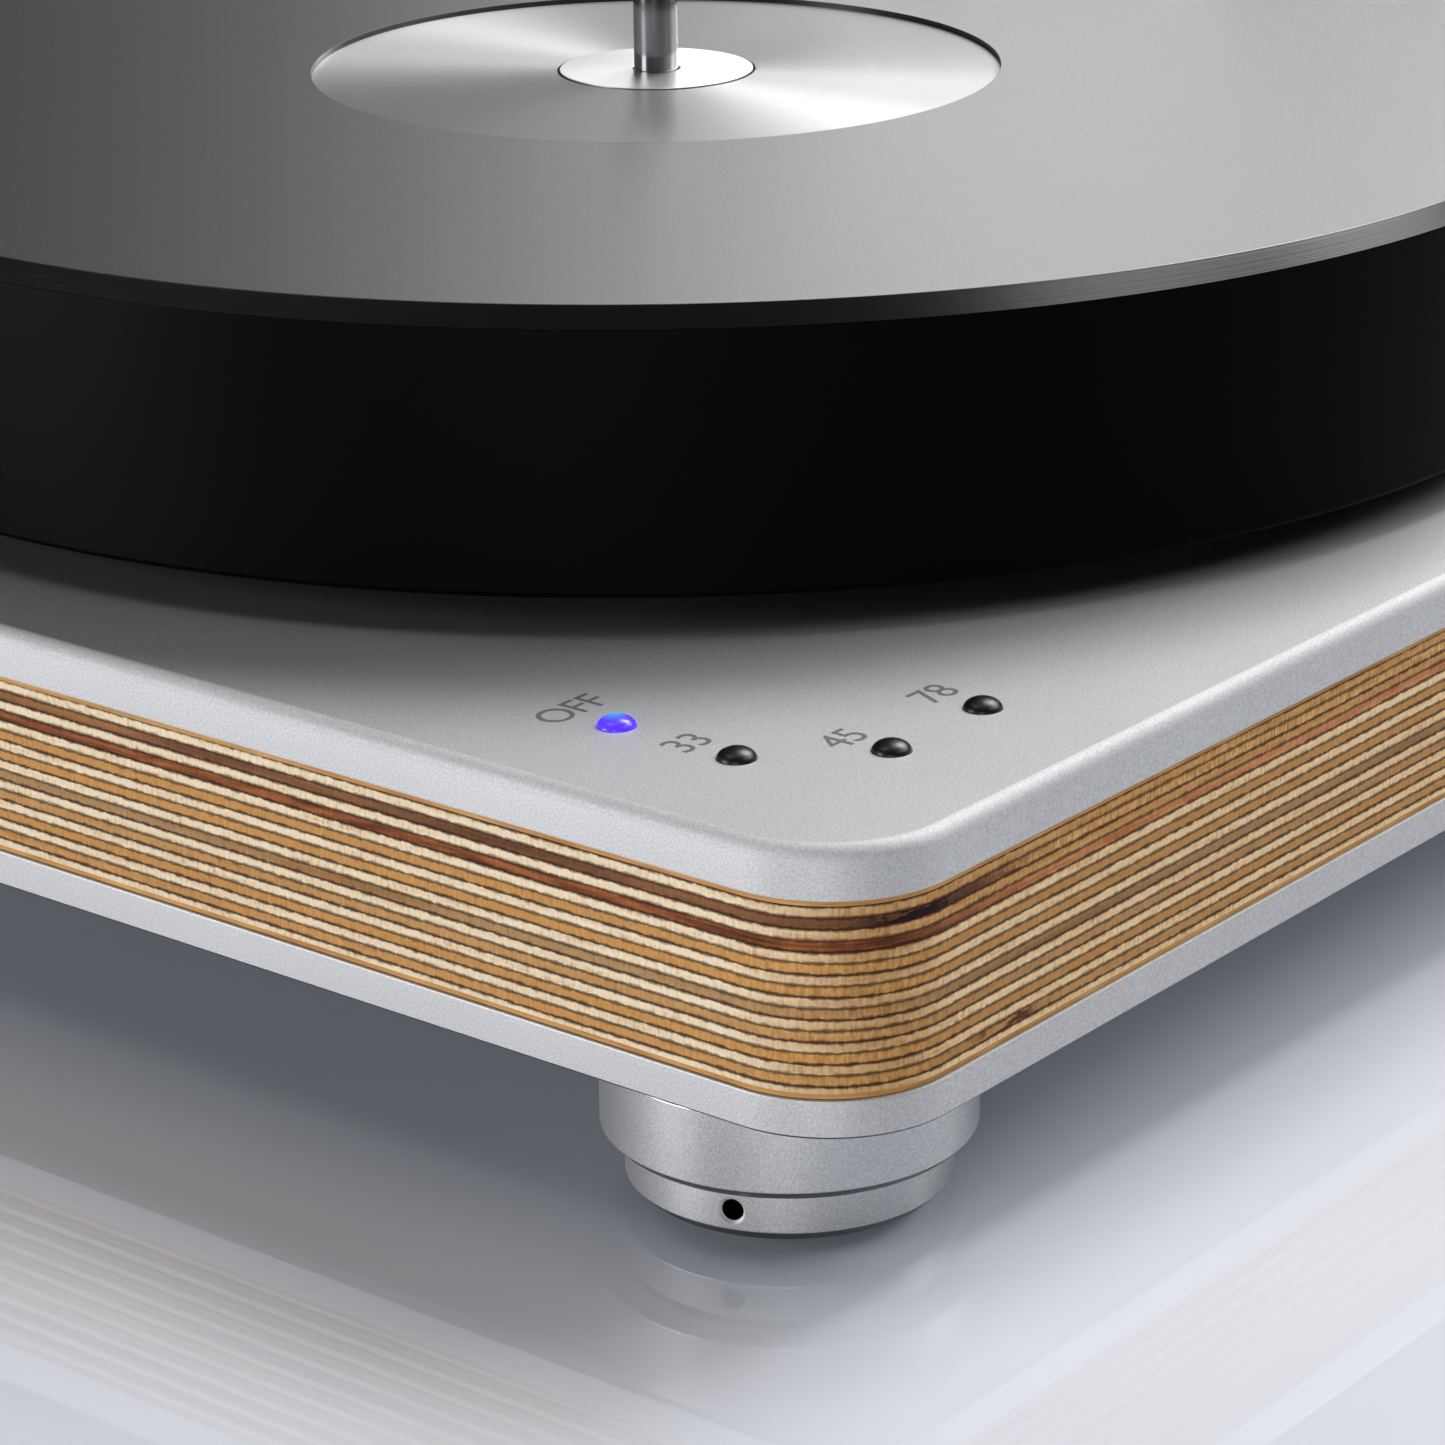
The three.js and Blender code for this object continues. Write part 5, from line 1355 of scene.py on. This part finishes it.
class TURNTABLE_OT_arm_lift(bpy.types.Operator):
    """Models the cue lift, its lever, the arm rest and the latch"""

    bl_idname = "turntable.arm_lift"
    bl_label = "Cue lift and rest"

    def execute(self, context):
        axis = middle("arm_pillar")
        lift = middle("lift_housing")
        level = middle("cue_lever").z
        lowest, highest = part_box("lift_housing")
        post_floor = low("lift_bar").z - 0.3 * MM
        post_room = 3.3 * MM
        profile = [
            *stepped((7 * MM, lowest.z, highest.z))[:-1],
            (post_room, highest.z),
            (post_room, post_floor),
            (0, post_floor),
        ]
        bm = softened(turned(profile, (lift.x, lift.y, 0), 96), 0.4 * MM, 3)
        axle = Vector((lift.x, lift.y, level))
        bm = combined(bm, [rod(2.3 * MM, axle + 4 * RIGHT, axle + 9 * RIGHT)])
        finished("lift_housing_body", bm, ["lift_housing"])

        # The bar is an arc about the pillar: one face, swept
        lowest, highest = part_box("lift_bar")
        inner, outer, thin, thick = 47.5 * MM, 52.5 * MM, 0.01 * MM, 3 * MM
        first_end, sweep = math.radians(-85), math.radians(-62)
        bm = box((inner, -thin, highest.z - thick), (outer, thin, highest.z))
        swept = [f for f in bm.faces if f.normal.y > 0.9]
        transformed(bm, Matrix.Rotation(first_end, 4, "Z"))
        bmesh.ops.delete(bm, geom=[f for f in bm.faces if f not in swept], context="FACES")
        bmesh.ops.spin(
            bm,
            geom=bm.faces[:] + bm.edges[:] + bm.verts[:],
            cent=(0, 0, 0),
            axis=(0, 0, 1),
            dvec=(0, 0, 0),
            angle=sweep,
            steps=40,
            use_merge=False,
            use_duplicate=False,
        )
        closed_up(bm)
        upright = edges_along(bm, 2)
        ends = [e for e in upright if e.calc_face_angle(0.0) > math.radians(60)]
        rounded(bm, ends, 2.3 * MM, 8)
        softened(bm, 0.5 * MM, 3, bottom=lowest.z, least_angle=VERY_SHARP)
        moved(bm, (axis.x, axis.y, 0))
        post = rod(3 * MM, (lift.x, lift.y, lowest.z), (lift.x, lift.y, highest.z - 1.5 * MM))
        finished("lift_bar_body", joined(bm, post), ["lift_bar"])

        corner = Vector((axis.x + 14 * MM, lift.y, level))
        end = Vector((corner.x, low("cue_lever").y, level))
        shaft = rod(2 * MM, axle + 4.3 * RIGHT, corner + 1.2 * RIGHT)
        stick = rod(1.8 * MM, corner + 1.2 * REAR, end + REAR)
        knob = softened(rod(3.4 * MM, end, end + 9 * REAR, 64), 0.9 * MM, 5)
        finished("cue_lever_body", joined(shaft, stick, knob), ["cue_lever"])

        lowest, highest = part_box("arm_rest")
        x, y = axis.x, middle("arm_rest").y
        floor = high("lift_bar").z
        half = 4 * MM
        front, back = y - half, y + half
        wall_low = x + 4.8 * MM
        cradle = box((lowest.x, front, floor - 3 * MM), (highest.x, back, floor))
        wall = box((wall_low, front, floor - MM), (highest.x, back, highest.z))
        bm = flats_merged(joined(cradle, wall))
        softened(bm, 0.45 * MM, 3, 0, 1, VERY_SHARP)
        bm = joined(bm, rod(4 * MM, (x, y, lowest.z), (x, y, floor - SEAM), 64))
        inner = half - 1.2 * MM
        wall_top = highest.z - 5 * MM
        latch_level = wall_top + 2.5 * MM
        hinge = Vector((wall_low + 2.1 * MM, y, latch_level))
        slot_low = (wall_low - MM, y - inner, wall_top)
        tools = [
            box(slot_low, (highest.x + MM, y + inner, highest.z + MM)),
            rod(1.4 * MM, hinge - 5 * REAR, hinge + 5 * REAR),
        ]
        finished("arm_rest_body", combined(bm, tools), ["arm_rest"])

        lowest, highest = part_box("arm_latch")
        half = inner - 0.3 * MM
        front, back = y - half, y + half
        thick = 1.2 * MM
        bar = box((hinge.x, front, latch_level - thick), (highest.x, back, latch_level + thick))
        hook = box((highest.x - 1.4 * MM, front, latch_level), (highest.x, back, highest.z))
        bm = flats_merged(joined(bar, hook))
        softened(bm, 0.3 * MM, 3, 0, 1, VERY_SHARP)
        side = REAR * (half / MM)
        knuckle = rod(thick, hinge - side, hinge + side)
        pin = rod(1.1 * MM, hinge - 4 * REAR, hinge + 4 * REAR)
        finished("arm_latch_body", joined(bm, knuckle, pin), ["arm_latch"])
        return {"FINISHED"}


class TURNTABLE_OT_arm(bpy.types.Operator):
    """Models the yoke, pivots, arm block, tube, shaft and counterweight"""

    bl_idname = "turntable.arm"
    bl_label = "Tonearm"

    def execute(self, context):
        axis = middle("arm_pillar")
        ground = Vector((axis.x, axis.y, 0))
        level = middle("arm_block").z
        pivot = ground + UP * level
        pin_room = 2.3 * MM
        lowest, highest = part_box("arm_yoke")
        base_top = lowest.z + 4 * MM
        inside, outside, half = 13 * MM, 17 * MM, 5 * MM
        ring = stepped((outside, lowest.z, base_top), bore=6.3 * MM)
        bm = softened(turned(ring, ground, 128), 0.4 * MM, 2)
        cheeks = []
        for way in (-1, 1):
            near, far = sorted((way * inside, way * outside))
            cheek = box(
                (axis.x + near, axis.y - half, lowest.z + 0.5 * MM),
                (axis.x + far, axis.y + half, highest.z),
            )
            rounded(cheek, edges_along(cheek, 0, above=highest.z - MM), 4.9 * MM, 16)
            softened(cheek, 0.4 * MM, 2, base_top, 1, VERY_SHARP)
            cheeks.append(cheek)
        bm = combined(joined(bm, *cheeks), [rod(pin_room, pivot - 20 * RIGHT, pivot + 20 * RIGHT)])
        finished("arm_yoke_body", bm, ["arm_yoke"])

        for way, node in ((-1, "pivot_pin_left"), (1, "pivot_pin_right")):
            tip, end = pivot + way * 6.8 * RIGHT, pivot + way * 18 * RIGHT
            bm = softened(rod(2 * MM, tip, end), 0.25 * MM, 2)
            half_slot = Vector((0.7, 0.3, 2.5)) * MM
            finished(node + "_body", combined(bm, [box(end - half_slot, end + half_slot)]), [node])

        lowest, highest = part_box("arm_block")
        tools = [
            rod(4.8 * MM, pivot - 14 * REAR, pivot - 2 * REAR),
            rod(4.3 * MM, pivot + 4.8 * REAR, pivot + 14 * REAR),
            rod(pin_room, pivot - 11 * RIGHT, pivot - 6.5 * RIGHT),
            rod(pin_room, pivot + 6.5 * RIGHT, pivot + 11 * RIGHT),
        ]
        bm = combined(softened(box(lowest, highest), 1.4 * MM, 5), tools)
        finished("arm_block_body", bm, ["arm_block"])

        lowest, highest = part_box("arm_tube")
        tube = stepped((4.5 * MM, 0, highest.y - lowest.y), bore=3.6 * MM)
        bm = softened(turned(tube, steps=96), 0.2 * MM, 2)
        finished("arm_tube_body", laid_along_y(bm, (axis.x, lowest.y, level)), ["arm_tube"])

        lowest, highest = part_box("weight_shaft")
        bm = rod(4 * MM, (axis.x, lowest.y, level), (axis.x, highest.y, level), 64)
        finished("weight_shaft_body", softened(bm, 0.5 * MM, 2), ["weight_shaft"])

        lowest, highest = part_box("counterweight")
        long = highest.y - lowest.y
        shaft_room, rim, groove_floor = 4.3 * MM, 14.5 * MM, 14.1 * MM
        profile = [(shaft_room, 0), (rim, 0)]
        for groove in (3.2, 5.2, 7.2):
            profile += [
                (rim, groove * MM),
                (groove_floor, (groove + 0.15) * MM),
                (groove_floor, (groove + 0.65) * MM),
                (rim, (groove + 0.8) * MM),
            ]
        profile += [(rim, long), (shaft_room, long)]
        bm = turned(profile, steps=128)
        ends = [
            e
            for e in bm.edges
            if len(e.link_faces) == 2
            and e.calc_face_angle(0.0) > SHARP
            and all(abs(v.co.z - long / 2) > long / 2 - SEAM for v in e.verts)
        ]
        rounded(bm, ends, 1.0 * MM, 3)
        laid_along_y(bm, (axis.x, lowest.y, level))
        finished("counterweight_body", bm, ["counterweight"])
        return {"FINISHED"}


class TURNTABLE_OT_head(bpy.types.Operator):
    """Models the headshell, cartridge, stylus and finger lift"""

    bl_idname = "turntable.head"
    bl_label = "Head"

    def execute(self, context):
        s = context.scene.turntable_arm
        axis = middle("arm_pillar")
        level = middle("arm_block").z
        reach = 35 * MM
        offset = reach * math.sin(s.head_angle)
        neck = math.sqrt(s.effective_length**2 - offset**2) - reach * math.cos(s.head_angle)
        along_tube = Matrix.Rotation(s.head_angle, 4, "Z")
        place = Matrix.Translation((axis.x, axis.y - neck, level)) @ along_tube.inverted()

        half, half_width_of_shell = 1.75 * MM, 9 * MM
        bm = rounded_slab(
            (-half_width_of_shell, -47 * MM, -half),
            (half_width_of_shell, 6 * MM, half),
            4 * MM,
            16,
        )
        softened(bm, 0.4 * MM, 3, least_angle=VERY_SHARP)
        slots = [
            bar_in_plan((x, -26.5 * MM, 0), (x, -14.5 * MM, 0), 1.3 * MM, -5 * MM, 5 * MM)
            for x in (-6.35 * MM, 6.35 * MM)
        ]
        tube_end = low("arm_tube").y - (axis.y - neck)
        tip = along_tube @ Vector((0, tube_end + 10 * MM, 0))
        bm = joined(combined(bm, slots), rod(3.3 * MM, (0, 0, 0), tip))
        finished("headshell_body", transformed(bm, place), ["headshell"])

        side, long, tall = 8.25 * MM, 26 * MM, 14.2 * MM
        top = -half - SEAM
        bottom = top - tall
        front = -reach - 5 * MM
        bm = box((-side, front, bottom), (side, front + long, top))
        nose = [
            e
            for e in bm.edges
            if all(v.co.z < bottom + MM and v.co.y < front + MM for v in e.verts)
        ]
        softened(rounded(bm, nose, 4 * MM, 1), 0.4 * MM, 3)
        finished("cartridge_body", transformed(bm, place), ["cartridge"])

        finished("stylus_body", copy_of("stylus", 0.08 * MM), ["stylus"])

        curve = bpy.data.curves.new("finger_lift_path", "CURVE")
        curve.dimensions = "3D"
        curve.bevel_depth = 1.1 * MM
        curve.bevel_resolution = 8
        curve.resolution_u = 10
        curve.use_fill_caps = True
        edge = half_width_of_shell + 1.4 * MM
        path = [
            (edge, -29 * MM, 0),
            (edge + 4.67 * MM, -35 * MM, 0),
            (edge + 9.33 * MM, -41 * MM, -2.5 * MM),
            (edge + 14 * MM, -41 * MM, -5 * MM),
        ]
        spline = curve.splines.new("BEZIER")
        spline.bezier_points.add(len(path) - 1)
        for point, spot in zip(spline.bezier_points, path):
            point.co = spot
            point.handle_left_type = point.handle_right_type = "AUTO"
        finished("finger_lift_wire", transformed(drawn(curve), place), ["finger_lift"])
        return {"FINISHED"}


class TURNTABLE_OT_inside(bpy.types.Operator):
    """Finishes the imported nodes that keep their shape"""

    bl_idname = "turntable.inside"
    bl_label = "Inner parts"

    def execute(self, context):
        for node, packed in frame["nodes"].items():
            if node in STANDS_FOR:
                continue
            packed.data.materials.clear()
            packed.data.materials.append(material_for(NODE_SLOT[node]))
        return {"FINISHED"}


# The stage in metres, the camera's sensor in millimetres; each softbox with its name, its
# heading and rise in degrees as seen from the lit point, its size in metres and its power
LIT_POINT = Vector((-0.1, -0.08, 0.05))
LAMP_DISTANCE = 2.0
FLOOR_REACH = 6.0
WORLD_COLOUR, WORLD_STRENGTH = "#c8c8cc", 0.05
SENSOR_WIDTH = 36.0
SOFTBOXES = (
    ("low_right_box", 15, 12, (0.56, 0.5), 8.0),
    ("mid_right_box", 15, 26, (0.8, 0.4), 2.7),
    ("right_box", 35, 26, (0.5, 0.4), 2.2),
    ("narrow_right_box", 35, 12, (0.28, 0.5), 0.85),
    ("low_left_box", 150, 0, (0.8, 0.1), 17.5),
    ("low_left_fill", 210, 0, (0.8, 0.1), 10.0),
    ("left_box", 150, 14, (0.8, 0.6), 5.5),
    ("front_strip", 288, 44, (0.9, 0.5), 4.0),
    ("front_box", 320, 30, (0.8, 0.7), 4.5),
    ("upper_front_box", 330, 45, (0.8, 0.8), 12.0),
    ("upper_right_box", 0, 45, (0.8, 0.8), 17.5),
    ("high_right_box", 0, 57, (0.8, 0.8), 17.5),
    ("high_left_box", 130, 65, (0.8, 0.8), 3.8),
    ("top_box", 0, 88, (0.8, 0.8), 1.0),
)


def direction(heading, rise):
    """The unit vector with a heading from the X axis and a rise above the floor."""
    level = math.cos(rise)
    return Vector((math.cos(heading) * level, math.sin(heading) * level, math.sin(rise)))


class TURNTABLE_OT_stage(bpy.types.Operator):
    """Sets up the floor, the lamps and the camera"""

    bl_idname = "turntable.stage"
    bl_label = "Stage"

    def execute(self, context):
        s = context.scene.turntable_stage
        scene = context.scene
        scene.view_settings.view_transform = "Standard"
        bm = bmesh.new()
        bmesh.ops.create_grid(bm, x_segments=1, y_segments=1, size=FLOOR_REACH)
        floor = as_object("floor", bm)
        floor.data.materials.append(floor_gloss())

        world = bpy.data.worlds.new("studio")
        world.use_nodes = True
        scene.world = world
        background = world.node_tree.nodes["Background"]
        background.inputs["Color"].default_value = linear(WORLD_COLOUR)
        background.inputs["Strength"].default_value = WORLD_STRENGTH

        for name, heading, rise, size, power in SOFTBOXES:
            data = bpy.data.lights.new(name, "AREA")
            data.shape = "RECTANGLE"
            data.size, data.size_y = size
            data.energy = power
            lamp = bpy.data.objects.new(name, data)
            lamp.visible_camera = False
            scene.collection.objects.link(lamp)
            toward = direction(math.radians(heading), math.radians(rise))
            lamp.location = LIT_POINT + toward * LAMP_DISTANCE
            lamp.rotation_euler = (-toward).to_track_quat("-Z", "Y").to_euler()

        ahead = direction(s.heading, -s.pitch)
        right = Vector((math.sin(s.heading), -math.cos(s.heading), 0))
        upward = right.cross(ahead)
        turned_right = right * math.cos(s.roll) + upward * math.sin(s.roll)
        turned_up = upward * math.cos(s.roll) - right * math.sin(s.roll)
        data = bpy.data.cameras.new("camera")
        data.lens = s.lens
        data.sensor_width = SENSOR_WIDTH
        camera = bpy.data.objects.new("camera", data)
        scene.collection.objects.link(camera)
        axes = Matrix((turned_right, turned_up, -ahead)).transposed().to_4x4()
        camera.matrix_world = Matrix.Translation(s.camera_place) @ axes
        scene.camera = camera
        return {"FINISHED"}


class TURNTABLE_PT_panel(bpy.types.Panel):
    """Lists the pieces"""

    bl_idname = "TURNTABLE_PT_panel"
    bl_label = "Turntable"
    bl_space_type = "VIEW_3D"
    bl_region_type = "UI"
    bl_category = "Turntable"

    def draw(self, context):
        for operator in OPERATORS:
            self.layout.operator(operator.bl_idname)


OPERATORS = (
    TURNTABLE_OT_stage,
    TURNTABLE_OT_plates,
    TURNTABLE_OT_core,
    TURNTABLE_OT_buttons,
    TURNTABLE_OT_legends,
    TURNTABLE_OT_platter,
    TURNTABLE_OT_feet,
    TURNTABLE_OT_connections,
    TURNTABLE_OT_arm_base,
    TURNTABLE_OT_arm_lift,
    TURNTABLE_OT_arm,
    TURNTABLE_OT_head,
    TURNTABLE_OT_inside,
)
SETTINGS = {
    "turntable_chassis": ChassisSettings,
    "turntable_button": ButtonSettings,
    "turntable_platter": PlatterSettings,
    "turntable_foot": FootSettings,
    "turntable_arm": ArmSettings,
    "turntable_stage": StageSettings,
}


def register():
    for group in SETTINGS.values():
        bpy.utils.register_class(group)
    for name, group in SETTINGS.items():
        setattr(bpy.types.Scene, name, PointerProperty(type=group))
    for operator in OPERATORS:
        bpy.utils.register_class(operator)
    bpy.utils.register_class(TURNTABLE_PT_panel)


def unregister():
    bpy.utils.unregister_class(TURNTABLE_PT_panel)
    for operator in OPERATORS:
        bpy.utils.unregister_class(operator)
    for name, group in SETTINGS.items():
        delattr(bpy.types.Scene, name)
        bpy.utils.unregister_class(group)


def main():
    register()
    bpy.ops.turntable.stage()
    bpy.ops.turntable.plates()
    bpy.ops.turntable.core()
    bpy.ops.turntable.buttons()
    bpy.ops.turntable.legends()
    bpy.ops.turntable.platter()
    bpy.ops.turntable.feet()
    bpy.ops.turntable.connections()
    bpy.ops.turntable.arm_base()
    bpy.ops.turntable.arm_lift()
    bpy.ops.turntable.arm()
    bpy.ops.turntable.head()
    bpy.ops.turntable.inside()


if __name__ == "__main__":
    main()
